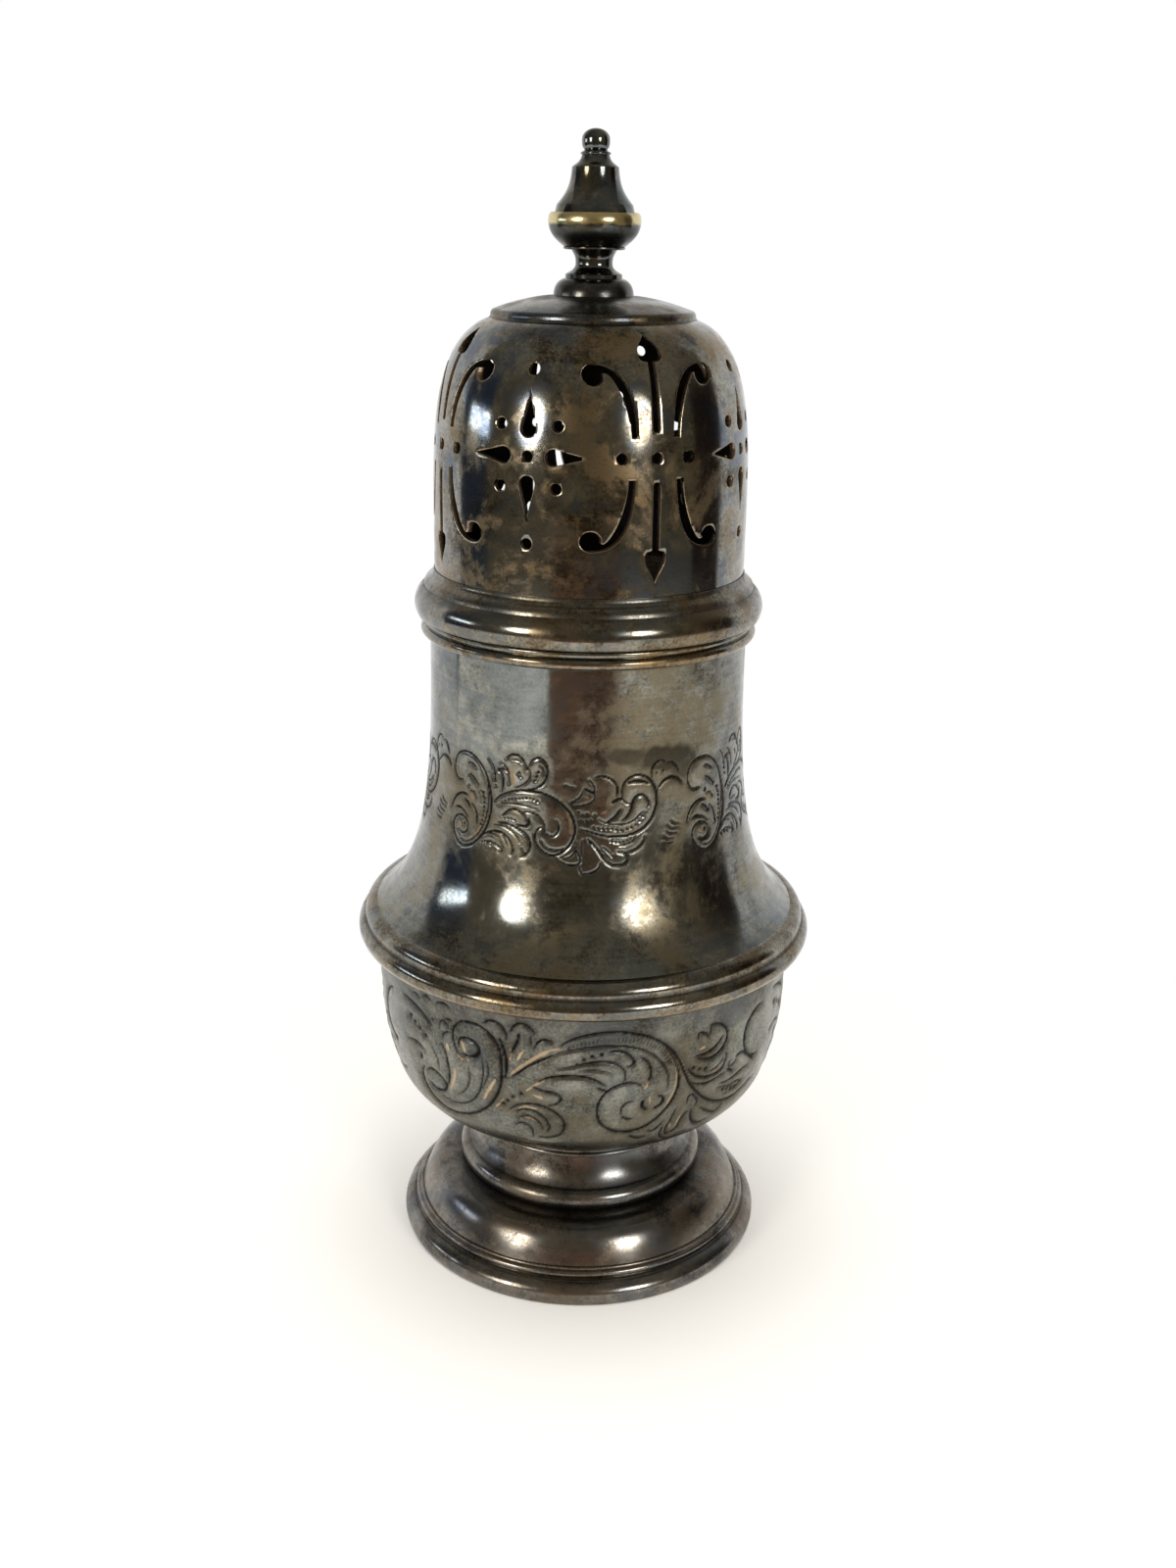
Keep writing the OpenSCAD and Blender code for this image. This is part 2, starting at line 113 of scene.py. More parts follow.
def buildRoom(setup):
    scene = bpy.context.scene
    world = bpy.data.worlds.new("room")
    world.use_nodes = True
    scene.world = world
    tree = world.node_tree
    tree.nodes.clear()
    toward = addNode(tree, "TexCoord").outputs["Generated"]
    axes = addNode(tree, "SeparateXYZ", links={0: toward}).outputs
    back = addNode(tree, "MapRange", {"From Min": -1.0, "From Max": 1.0}, {"Value": axes["Y"]})
    shares = {}
    for name, value, low, high in (
            ("right", axes["X"], -setup["stripTurn"], setup["stripTurn"]),
            ("strip", back.outputs[0], setup["stripFrom"] - setup["stripBlur"],
             setup["stripFrom"] + setup["stripBlur"]),
            ("screen", back.outputs[0], setup["screenFrom"] - setup["screenBlur"],
             setup["screenFrom"] + setup["screenBlur"]),
            ("ceiling", axes["Z"], setup["ceilingFrom"], setup["ceilingFull"])):
        share = addNode(tree, "MapRange", {"From Min": low, "From Max": high}, {"Value": value})
        shares[name] = share.outputs[0]
    shares["camera"] = addNode(tree, "LightPath").outputs["Is Camera Ray"]
    strip = addNode(tree, "Mix", {"data_type": "RGBA", 6: linear(setup["leftStrip"]),
                                  7: linear(setup["rightStrip"])}, {0: shares["right"]})
    seen = addNode(tree, "Mix", {"data_type": "RGBA", 6: linear(setup["dim"])},
                   {0: shares["strip"], 7: strip.outputs[2]})
    for share, colour in (("screen", "screen"), ("ceiling", "ceiling"), ("camera", "screen")):
        seen = addNode(tree, "Mix", {"data_type": "RGBA", 7: linear(setup[colour])},
                       {0: shares[share], 6: seen.outputs[2]})
    background = addNode(tree, "Background", {"Strength": 1.0}, {"Color": seen.outputs[2]})
    addNode(tree, "OutputWorld", links={"Surface": background.outputs[0]})

    def flat(name, colour, glow, bm):
        mesh = bpy.data.meshes.new(name)
        bm.to_mesh(mesh)
        bm.free()
        paint = bpy.data.materials.new(name)
        paint.use_nodes = True
        tree = paint.node_tree
        shader = tree.nodes["Principled BSDF"]
        shader.inputs["Base Color"].default_value = linear(colour)
        shader.inputs["Roughness"].default_value = setup["paintRoughness"]
        # white where it is seen, directly or in the metal, without more light on the object
        rays = addNode(tree, "LightPath").outputs
        shown = addNode(tree, "Math", {"operation": "MAXIMUM"},
                        {0: rays["Is Camera Ray"], 1: rays["Is Glossy Ray"]})
        strength = addNode(tree, "Math", {"operation": "MULTIPLY", 1: glow}, {0: shown.outputs[0]})
        shader.inputs["Emission Color"].default_value = linear(colour)
        tree.links.new(strength.outputs[0], shader.inputs["Emission Strength"])
        mesh.materials.append(paint)
        piece = bpy.data.objects.new(name, mesh)
        scene.collection.objects.link(piece)
        return piece

    floor = bmesh.new()
    bmesh.ops.create_circle(floor, cap_ends=True, segments=96, radius=setup["floorRadius"])
    bmesh.ops.bisect_plane(floor, geom=floor.verts[:] + floor.edges[:] + floor.faces[:],
                           plane_co=(0, setup["floorBack"], 0), plane_no=(0, 1, 0), clear_outer=True)
    flat("floor", setup["floor"], setup["floorGlow"], floor)
    curtain = bmesh.new()
    bmesh.ops.create_grid(curtain, x_segments=1, y_segments=1, size=0.5)
    bmesh.ops.scale(curtain, vec=setup["curtainSize"] + (1,), verts=curtain.verts)
    bmesh.ops.rotate(curtain, matrix=Matrix.Rotation(math.radians(90), 3, "X"), verts=curtain.verts)
    bmesh.ops.translate(curtain, vec=setup["curtainPlace"], verts=curtain.verts)
    drape = flat("curtain", setup["curtain"], 0.0, curtain)
    # only the metal sees it
    drape.visible_camera = False
    drape.visible_shadow = False
    drape.visible_diffuse = False

    for name, azimuth, z, power in setup["lamps"] + [setup["window"]]:
        data = bpy.data.lights.new(name, "AREA")
        if name == setup["window"][0]:
            data.shape = "RECTANGLE"
            data.size, data.size_y = setup["windowSize"]
            data.color = linear(setup["windowColour"])[:3]
        else:
            data.shape = "DISK"
            data.size = setup["lampSize"]
            data.color = linear(setup["lampColour"])[:3]
        data.energy = power
        lamp = bpy.data.objects.new(name, data)
        a = math.radians(azimuth)
        lampPlace = Vector((math.sin(a) * setup["lampDistance"], -math.cos(a) * setup["lampDistance"], z))
        lamp.location = lampPlace
        lamp.rotation_euler = (Vector(setup["lampAim"]) - lampPlace).to_track_quat("-Z", "Y").to_euler()
        scene.collection.objects.link(lamp)
    data = bpy.data.lights.new("fill", "AREA")
    data.shape = "DISK"
    data.size = setup["fillSize"]
    data.energy = setup["fill"]
    fill = bpy.data.objects.new("fill", data)
    fill.location = (0, 0, setup["fillHeight"])
    fill.visible_glossy = False
    scene.collection.objects.link(fill)


buildRoom(room)
print("room lit")

# Silver plate on brass, polished when new and now sulphided: grey mirror with brown, gold and blue clouds,
# black in the cuts and bare warm metal where hands and cloths rubbed the edges.
# Each has the film's colours, its clouds and drifts in millimetres, the strength of grain and polishing
# lines, the roughness of clean and filmed metal, and what a warm stain adds to it.
finishes = {
    "tarnished_plate": {
        "name": "tarnishedSilverPlate", "shift": (55, 96, 18), "deep": "#4d4942", "mid": "#7a7a73",
        "pale": "#93938d", "warm": "#7b7058", "cool": "#6a7174", "worn": "#9b8468", "cut": "#191716",
        "cloudMm": 10, "driftMm": 22, "grain": 0.07, "polish": 0.05, "gloss": (0.08, 0.22), "matt": 0.24},
    "chased_plate": {
        "name": "chasedSilverPlate", "shift": (21, -63, 44), "deep": "#47453f", "mid": "#6d6d66",
        "pale": "#8a8981", "warm": "#5f5747", "cool": "#646869", "worn": "#b39d82", "cut": "#1a1817",
        "cloudMm": 8, "driftMm": 20, "grain": 0.1, "polish": 0.03, "gloss": (0.18, 0.34), "matt": 0.08},
    "dome_plate": {
        "name": "cloudedSilverPlate", "shift": (83, -39, 27), "deep": "#463f34", "mid": "#7b786f",
        "pale": "#999790", "warm": "#87714e", "cool": "#5e6978", "worn": "#a8916f", "cut": "#1b1917",
        "cloudMm": 6, "driftMm": 15, "grain": 0.09, "polish": 0.03, "gloss": (0.06, 0.2), "matt": 0.26},
    "foot_plate": {
        "name": "brownedSilverPlate", "shift": (-91, 8, -52), "deep": "#3e3a36", "mid": "#716d67",
        "pale": "#8c8883", "warm": "#6b5f50", "cool": "#62656a", "worn": "#95806a", "cut": "#1a1918",
        "cloudMm": 8, "driftMm": 18, "grain": 0.08, "polish": 0.03, "gloss": (0.13, 0.29), "matt": 0.14},
    "worn_plate": {
        "name": "rubbedSilverPlate", "shift": (55, 96, 18), "deep": "#463f34", "mid": "#736d61",
        "pale": "#918d82", "warm": "#6f5d41", "cool": "#6c7070", "worn": "#9c8465", "cut": "#24211d",
        "cloudMm": 5, "driftMm": 11, "grain": 0.12, "polish": 0.03, "gloss": (0.08, 0.24), "matt": 0.18},
    "blackened_plate": {
        "name": "blackenedSilverPlate", "shift": (83, -39, 27), "deep": "#3a3a38", "mid": "#62635f",
        "pale": "#7f807b", "warm": "#5e5642", "cool": "#565d63", "worn": "#d0c092", "cut": "#191918",
        "cloudMm": 4, "driftMm": 9, "grain": 0.06, "polish": 0.03, "gloss": (0.05, 0.16), "matt": 0.04},
    "inner_metal": {
        "name": "dullBrassInside", "shift": (0, 0, 0), "deep": "#5f5340", "mid": "#837763",
        "pale": "#9c917d", "warm": "#8a7352", "cool": "#807d72", "worn": "#b59b6f", "cut": "#3a3024",
        "cloudMm": 9, "driftMm": 16, "grain": 0.1, "polish": 0.1, "gloss": (0.28, 0.42), "matt": 0.06},
    # bare edges of the saw cuts, which shine through the tarnish
    "sawn_edge": {
        "name": "sawnEdgeMetal", "shift": (0, 0, 0), "deep": "#6e5f4b", "mid": "#948470",
        "pale": "#b3a48c", "warm": "#8e765a", "cool": "#8d8678", "worn": "#b3a48c", "cut": "#15120f",
        "cloudMm": 3, "driftMm": 7, "grain": 0.1, "polish": 0.0, "gloss": (0.2, 0.36), "matt": 0.05},
}
tarnish = {
    # patterns: size in millimetres where the finish has none of its own, detail, roughness, distortion
    "patterns": {"cloud": (None, 8, 0.68, 0.25), "drift": (None, 8, 0.7, 0.4), "grain": (0.4, 2, 0.6, 0),
                 "polish": (0.55, 3, 0.6, 0), "fleck": (2.4, 4, 0.65, 0), "ragged": (1.6, 5, 0.7, 0),
                 "dents": (7, 2, 0.5, 0), "pits": (0.45, 3, 0.65, 0)},
    "polishStretch": (0.05, 0.05, 1.0), "noiseRange": (0.3, 0.7), "fleckAmount": 0.3,
    "filmStops": {"deep": 0.34, "mid": 0.5, "pale": 0.68},
    # where stains start and are full in the drift, and how much they cover
    "stains": {"warm": (0.5, 0.59, 0.66), "cool": (0.47, 0.4, 0.66)},
    "raggedAmount": 0.9, "wearFrom": 0.72, "wearFull": 1.02, "wornDull": 0.12, "cutDull": 0.3,
    "dentStrength": 0.35, "dentMm": 0.1, "pitStrength": 0.12, "pitMm": 0.03,
}


def platedMetal(finish):
    material = bpy.data.materials.new(finish["name"])
    material.use_nodes = True
    tree = material.node_tree
    shader = tree.nodes["Principled BSDF"]
    shader.inputs["Metallic"].default_value = 1.0
    onPiece = addNode(tree, "TexCoord").outputs["Object"]
    onFilm = addNode(tree, "Mapping", {"Location": [s * mm for s in finish["shift"]]},
                     {"Vector": onPiece}).outputs[0]
    along = addNode(tree, "Mapping", {"Scale": tarnish["polishStretch"]}, {"Vector": onFilm})
    noise = {}
    for name, (size, detail, roughness, distortion) in tarnish["patterns"].items():
        scale = 1 / ((size or finish[name + "Mm"]) * mm)
        noise[name] = addNode(tree, "TexNoise", {"Scale": scale, "Detail": detail, "Roughness": roughness,
                                                 "Distortion": distortion},
                              {"Vector": along.outputs[0] if name == "polish" else onFilm}).outputs["Fac"]
    # a blotchy film of tarnish with flecks, fine grain and polishing lines round the axis
    least, most = tarnish["noiseRange"]
    fleck = tarnish["fleckAmount"]
    flecked = addNode(tree, "Math", {"operation": "MULTIPLY_ADD", 1: fleck, 2: -fleck / 2},
                      {0: noise["fleck"]}).outputs[0]
    film = addNode(tree, "Math", {"operation": "ADD"}, {0: noise["cloud"], 1: flecked}).outputs[0]
    for name in ("grain", "polish"):
        lines = addNode(tree, "MapRange", {"From Min": least, "From Max": most, "To Min": -finish[name],
                                           "To Max": finish[name]}, {"Value": noise[name]})
        film = addNode(tree, "Math", {"operation": "ADD"}, {0: film, 1: lines.outputs[0]}).outputs[0]
    filmed = addNode(tree, "ValToRGB", links={"Fac": film})
    setStops(filmed, [(stop, finish[tone]) for tone, stop in tarnish["filmStops"].items()])
    # warm and cool stains with soft ragged edges, the warm ones matt
    patched = addNode(tree, "Math", {"operation": "ADD"}, {0: noise["drift"], 1: flecked}).outputs[0]
    colour = filmed.outputs["Color"]
    stained = {}
    for tint, (start, full, cover) in tarnish["stains"].items():
        stained[tint] = addNode(tree, "MapRange", {"From Min": start, "From Max": full, "To Max": cover},
                                {"Value": patched}).outputs[0]
        colour = addNode(tree, "Mix", {"data_type": "RGBA", 7: linear(finish[tint])},
                         {0: stained[tint], 6: colour}).outputs[2]
    # rubbed edges, ragged by a fine noise, and black sulphide left in the cuts; the same layers carry painted
    # highlights on engraved ridges and painted shade inside the dome and in the gap under the cover
    wear = addNode(tree, "Attribute", {"attribute_name": "wear"}).outputs["Fac"]
    groove = addNode(tree, "Attribute", {"attribute_name": "groove"}).outputs["Fac"]
    raggedWear = addNode(tree, "Math", {"operation": "MULTIPLY_ADD", 1: tarnish["raggedAmount"]},
                         {0: noise["ragged"], 2: wear}).outputs[0]
    rubbed = addNode(tree, "MapRange", {"From Min": tarnish["wearFrom"], "From Max": tarnish["wearFull"]},
                     {"Value": raggedWear}).outputs[0]
    for layer, share in (("worn", rubbed), ("cut", groove)):
        colour = addNode(tree, "Mix", {"data_type": "RGBA", 7: linear(finish[layer])},
                         {0: share, 6: colour}).outputs[2]
    tree.links.new(colour, shader.inputs["Base Color"])
    clean, dull = finish["gloss"]
    rough = addNode(tree, "MapRange", {"From Min": least, "From Max": most, "To Min": dull, "To Max": clean},
                    {"Value": film}).outputs[0]
    for share, amount in ((stained["warm"], finish["matt"]), (rubbed, tarnish["wornDull"]),
                          (groove, tarnish["cutDull"])):
        rough = addNode(tree, "Math", {"operation": "MULTIPLY_ADD", 1: amount},
                        {0: share, 2: rough}).outputs[0]
    tree.links.new(rough, shader.inputs["Roughness"])
    # hand-raised sheet is slightly uneven, and the tarnish is pitted
    uneven = addNode(tree, "Bump", {"Strength": tarnish["dentStrength"], "Distance": tarnish["dentMm"] * mm},
                     {"Height": noise["dents"]})
    pitted = addNode(tree, "Bump", {"Strength": tarnish["pitStrength"], "Distance": tarnish["pitMm"] * mm},
                     {"Height": noise["pits"], "Normal": uneven.outputs["Normal"]})
    tree.links.new(pitted.outputs["Normal"], shader.inputs["Normal"])
    return material


materials = {slot: platedMetal(finish) for slot, finish in finishes.items()}
print("finishes mixed")


# Outlines are points (radius, height) in millimetres
def curve(p, a, q, b, k=(0.4, 0.4), n=20):
    p, q = np.array(p, float), np.array(q, float)
    d = np.linalg.norm(q - p)
    u = p + k[0] * d * np.array([math.cos(math.radians(a)), math.sin(math.radians(a))])
    v = q - k[1] * d * np.array([math.cos(math.radians(b)), math.sin(math.radians(b))])
    t = np.linspace(0, 1, n + 1)[:, None]
    points = (1 - t) ** 3 * p + 3 * (1 - t) ** 2 * t * u + 3 * (1 - t) * t ** 2 * v + t ** 3 * q
    return [tuple(point) for point in points]


def arc(c, r, a, b, n=14):
    return [(c[0] + r * math.cos(t), c[1] + r * math.sin(t)) for t in np.radians(np.linspace(a, b, n + 1))]


def distinct(path, least=0.005):
    kept = [path[0]]
    for point in path[1:]:
        if math.dist(point, kept[-1]) > least:
            kept.append(point)
    return kept


def runAlong(path):
    return np.concatenate([[0], np.cumsum(np.linalg.norm(np.diff(np.array(path), axis=0), axis=1))])


def evenly(path, spacing):
    path = np.array(distinct(path))
    run = runAlong(path)
    at = np.linspace(0, run[-1], max(2, int(round(run[-1] / spacing))) + 1)
    return [(float(np.interp(s, run, path[:, 0])), float(np.interp(s, run, path[:, 1]))) for s in at]


def innerWall(path, wall, low, high):
    path = np.array(path)
    along = np.gradient(path, axis=0)
    along /= np.linalg.norm(along, axis=1)[:, None]
    inner = path + wall * np.stack([-along[:, 1], along[:, 0]], 1)
    return [(max(0.0, float(r)), float(min(max(z, low), high))) for r, z in inner[::-1]]


def pointsOf(mesh):
    points = np.empty(len(mesh.vertices) * 3)
    mesh.vertices.foreach_get("co", points)
    return points.reshape(-1, 3) / mm


# worn and stained places are (radius, height, reach, amount)
def addMarks(mesh, piece):
    points = pointsOf(mesh)
    radius = np.hypot(points[:, 0], points[:, 1])
    for name, places in (("wear", piece.get("worn", [])), ("groove", piece.get("stained", []))):
        marks = np.zeros(len(points))
        for r, z, reach, amount in places:
            near = np.clip(1 - np.hypot(radius - r, points[:, 2] - z) / reach, 0, 1) ** 0.5
            marks = np.maximum(marks, amount * near)
        layer = mesh.attributes.get(name) or mesh.attributes.new(name, "FLOAT", "POINT")
        layer.data.foreach_set("value", marks)


def turned(piece, outline):
    bm = bmesh.new()
    verts = [bm.verts.new((r * mm, 0, z * mm)) for r, z in distinct(outline)]
    for a, b in zip(verts, verts[1:] + verts[:1]):
        bm.edges.new((a, b))
    # one sector is spun and then copied round, which is much quicker than one long spin
    sectors, weldMm = 8, 0.002
    bmesh.ops.spin(bm, geom=bm.verts[:] + bm.edges[:], cent=(0, 0, 0), axis=(0, 0, 1),
                   angle=2 * math.pi / sectors, steps=piece.get("steps", 160) // sectors)
    bmesh.ops.spin(bm, geom=bm.verts[:] + bm.edges[:] + bm.faces[:], cent=(0, 0, 0), axis=(0, 0, 1),
                   angle=2 * math.pi * (sectors - 1) / sectors, steps=sectors - 1, use_duplicate=True)
    bmesh.ops.remove_doubles(bm, verts=bm.verts, dist=weldMm * mm)
    bmesh.ops.recalc_face_normals(bm, faces=bm.faces)
    mesh = bpy.data.meshes.new(piece["name"])
    bm.to_mesh(mesh)
    bm.free()
    addMarks(mesh, piece)
    return mesh


def place(piece, mesh):
    mesh.shade_smooth()
    mesh.set_sharp_from_angle(angle=math.radians(piece.get("crease", 32)))
    if not mesh.materials:
        mesh.materials.append(materials[piece["finish"]])
    made = bpy.data.objects.new(piece["name"], mesh)
    bpy.context.scene.collection.objects.link(made)
    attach(made, piece["body"])
    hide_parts(piece["node"])


# Foot
footRing = {"name": "footRing", "node": "foot_ring", "body": "body", "finish": "foot_plate",
            "inside": 27.2, "rebate": 28.1, "shelf": 2.7, "worn": [(30.2, 2.4, 0.8, 0.25)]}
inside, rebate, shelf = (footRing[k] for k in ("inside", "rebate", "shelf"))
place(footRing, turned(footRing, [(inside, 0.0)] + arc((27.9, 1.35), 2.3, -35.94, 85, 28)
                       + [(rebate, 3.55), (rebate, shelf), (inside, shelf)]))

foot = {"name": "spunFoot", "node": "foot", "body": "body", "finish": "foot_plate", "wall": 0.9,
        "edge": 28.6, "low": 2.7, "top": 20.1, "steps": 200,
        "worn": [(28.1, 4.6, 0.4, 0.3), (27.4, 5.2, 0.3, 0.4), (20.5, 12.6, 0.9, 0.2)],
        "stained": [(19.7, 11.0, 2.4, 0.55), (18.6, 14.6, 1.2, 0.4), (28.6, 3.8, 0.5, 0.7)]}
flange = [(foot["edge"], foot["low"]), (foot["edge"], foot["low"] + 1)]
edgeBeads = arc((27.602, 4.352), 0.6, -45, 75, 12) + arc((27.246, 5.048), 0.28, -5, 110, 8)
footRise = curve((27.05, 5.3), 112, (19.9, 11.0), 180, (0.55, 0.5), 36) + arc((18.5, 12.4), 2, -42, 75, 22)
footRise += curve((19.0, 14.34), 132, (16.5, foot["top"]), 107, (0.35, 0.4), 24)
footInside = innerWall(distinct(flange + footRise), foot["wall"], foot["low"], foot["top"])
place(foot, turned(foot, distinct(flange + edgeBeads + footRise) + footInside))

stemWire = {"name": "stemWire", "node": "stem_wire", "body": "body", "finish": "foot_plate",
            "base": 20.1, "inside": 15.6, "middle": 18.625, "reed": 0.375}
wireBase, inside, middle, reed = (stemWire[k] for k in ("base", "inside", "middle", "reed"))
place(stemWire, turned(stemWire, [(inside, wireBase)] + arc((middle, wireBase + reed), reed, -90, 90, 8)
                       + arc((middle, wireBase + 3 * reed), reed, -90, 90, 8)
                       + [(middle, wireBase + 1.95), (inside, wireBase + 0.85)]))
print("foot turned")


# Engraving: a line is its width, then its points round the body from the front and up the outline, in
# millimetres as round, up, round, up. Dots are a radius and points.
def drawn(lines, rise=0.0, thin=1.0):
    return [(thin * line[0], [(u, v + rise) for u, v in zip(line[1::2], line[2::2])]) for line in lines]


def smoothStroke(points, spacing=0.09):
    p = np.array([points[0]] + list(points) + [points[-1]], float)
    out = []
    for i in range(1, len(p) - 2):
        a, b, c, d = p[i - 1], p[i], p[i + 1], p[i + 2]
        t = np.linspace(0, 1, max(2, int(np.linalg.norm(c - b) / spacing) + 1))[:, None]
        out.append(0.5 * (2 * b + (c - a) * t + (2 * a - 5 * b + 4 * c - d) * t ** 2
                          + (3 * b - a - 3 * c + d) * t ** 3))
    return np.vstack(out)


def strokeMarks(strokes, dots):
    marks = []
    for width, points in strokes:
        run = smoothStroke(points)
        share = np.linspace(0, 1, len(run))
        half = width / 2 * (0.45 + 0.55 * np.sin(math.pi * share) ** 0.5)  # thin at both ends
        marks += [(u, v, h) for (u, v), h in zip(run, half)]
    for radius, points in dots:
        marks += [(u, v, radius) for u, v in points]
    return marks


# how far the tools spread round a stroke, in millimetres or shares
tooling = {"spread": 1.5, "sinkReach": 0.9, "sinkGain": 2.2, "ridgeReach": 0.6, "ridgeGain": 1.6,
           "rubReach": 0.25, "rubAmount": 0.68, "blackFrom": 0.15, "skin": 0.05, "blotEdge": 3}


def engrave(mesh, piece, outline):
    points = pointsOf(mesh)
    count = len(points)
    path = np.array(outline)
    run = runAlong(path)
    radius = np.hypot(points[:, 0], points[:, 1])
    around = np.arctan2(points[:, 0], -points[:, 1])
    up = np.interp(points[:, 2], path[:, 1], run)
    outside = np.abs(np.interp(points[:, 2], path[:, 1], path[:, 0]) - radius) < tooling["skin"]
    slope = np.gradient(path, run, axis=0)
    normalR = np.interp(up, run, slope[:, 1])
    normalZ = -np.interp(up, run, slope[:, 0])
    side = around * piece["reference"]
    period = 2 * math.pi * piece["reference"] / piece["repeats"]
    across = (side - piece["start"]) % period + piece["start"]
    low, high = piece["band"]
    inBand = np.nonzero(outside & (up > low) & (up < high))[0]

    def cover(marks, reach):
        marks = np.vstack([np.array(marks) + (shift * period, 0, 0) for shift in (-1, 0, 1)])
        half = np.maximum(marks[:, 2], reach)
        strength = np.minimum(1, marks[:, 2] / reach)
        size = tooling["spread"] * half.max()
        amount = np.zeros(count)
        squares = {}
        for i, key in enumerate(map(tuple, np.floor(marks[:, :2] / size).astype(int))):
            squares.setdefault(key, []).append(i)
        spots = {}
        cells = np.floor(np.stack([across[inBand], up[inBand]], 1) / size).astype(int)
        for i, key in zip(inBand, map(tuple, cells)):
            spots.setdefault(key, []).append(i)
        for (x, y), here in spots.items():
            near = [i for dx in (-1, 0, 1) for dy in (-1, 0, 1) for i in squares.get((x + dx, y + dy), [])]
            if near:
                gap = np.hypot(across[here][:, None] - marks[near, 0], up[here][:, None] - marks[near, 1])
                share = np.clip(1 - (gap / (tooling["spread"] * half[near])) ** 2, 0, 1) ** 2 * strength[near]
                amount[here] = share.max(axis=1)
        return amount

    marks = strokeMarks(piece["strokes"], piece["dots"])
    groove = cover(marks, piece["finest"])
    # the ground sinks and darkens round the cuts
    hollow = np.minimum(1, tooling["sinkGain"] * cover(marks[::3], tooling["sinkReach"]))
    depth = groove * piece["depth"] + hollow * piece["hollow"]
    points[:, 0] -= depth * normalR * np.sin(around)
    points[:, 1] += depth * normalR * np.cos(around)
    points[:, 2] -= depth * normalZ
    mesh.vertices.foreach_set("co", (points * mm).ravel())
    mesh.update()
    stained = np.empty(count)
    mesh.attributes["groove"].data.foreach_get("value", stained)
    stained = 1 - (1 - stained) * (1 - hollow * piece["stain"])
    # single stains have slightly wavy edges
    wobble = 0.09 * np.sin(1.1 * side + 0.9 * up) + 0.04 * np.sin(2.9 * side - 1.7 * up)
    for u, v, wide, tall, amount in piece.get("blots", []):
        gap = np.hypot((side - u) / wide, (up - v) / tall) + wobble
        blot = amount * np.clip(tooling["blotEdge"] * (1 - gap), 0, 1)
        stained = np.where(outside, np.maximum(stained, blot), stained)
    black = piece["black"] * (groove - tooling["blackFrom"])
    mesh.attributes["groove"].data.foreach_set("value", np.clip(np.maximum(black, stained), 0, 1))
    rubbed = tooling["rubAmount"] * cover(strokeMarks(piece["rubs"], []), tooling["rubReach"])
    # the ridges beside the cuts are rubbed too, and brightened as a painted highlight where they would catch
    # the light
    beside = tooling["ridgeGain"] * (cover(marks[::2], tooling["ridgeReach"]) - groove)
    ridgeRubAndHighlight = piece["edges"] * np.clip(beside, 0, 1)
    mesh.attributes["wear"].data.foreach_set("value", np.maximum(rubbed, ridgeRubAndHighlight))


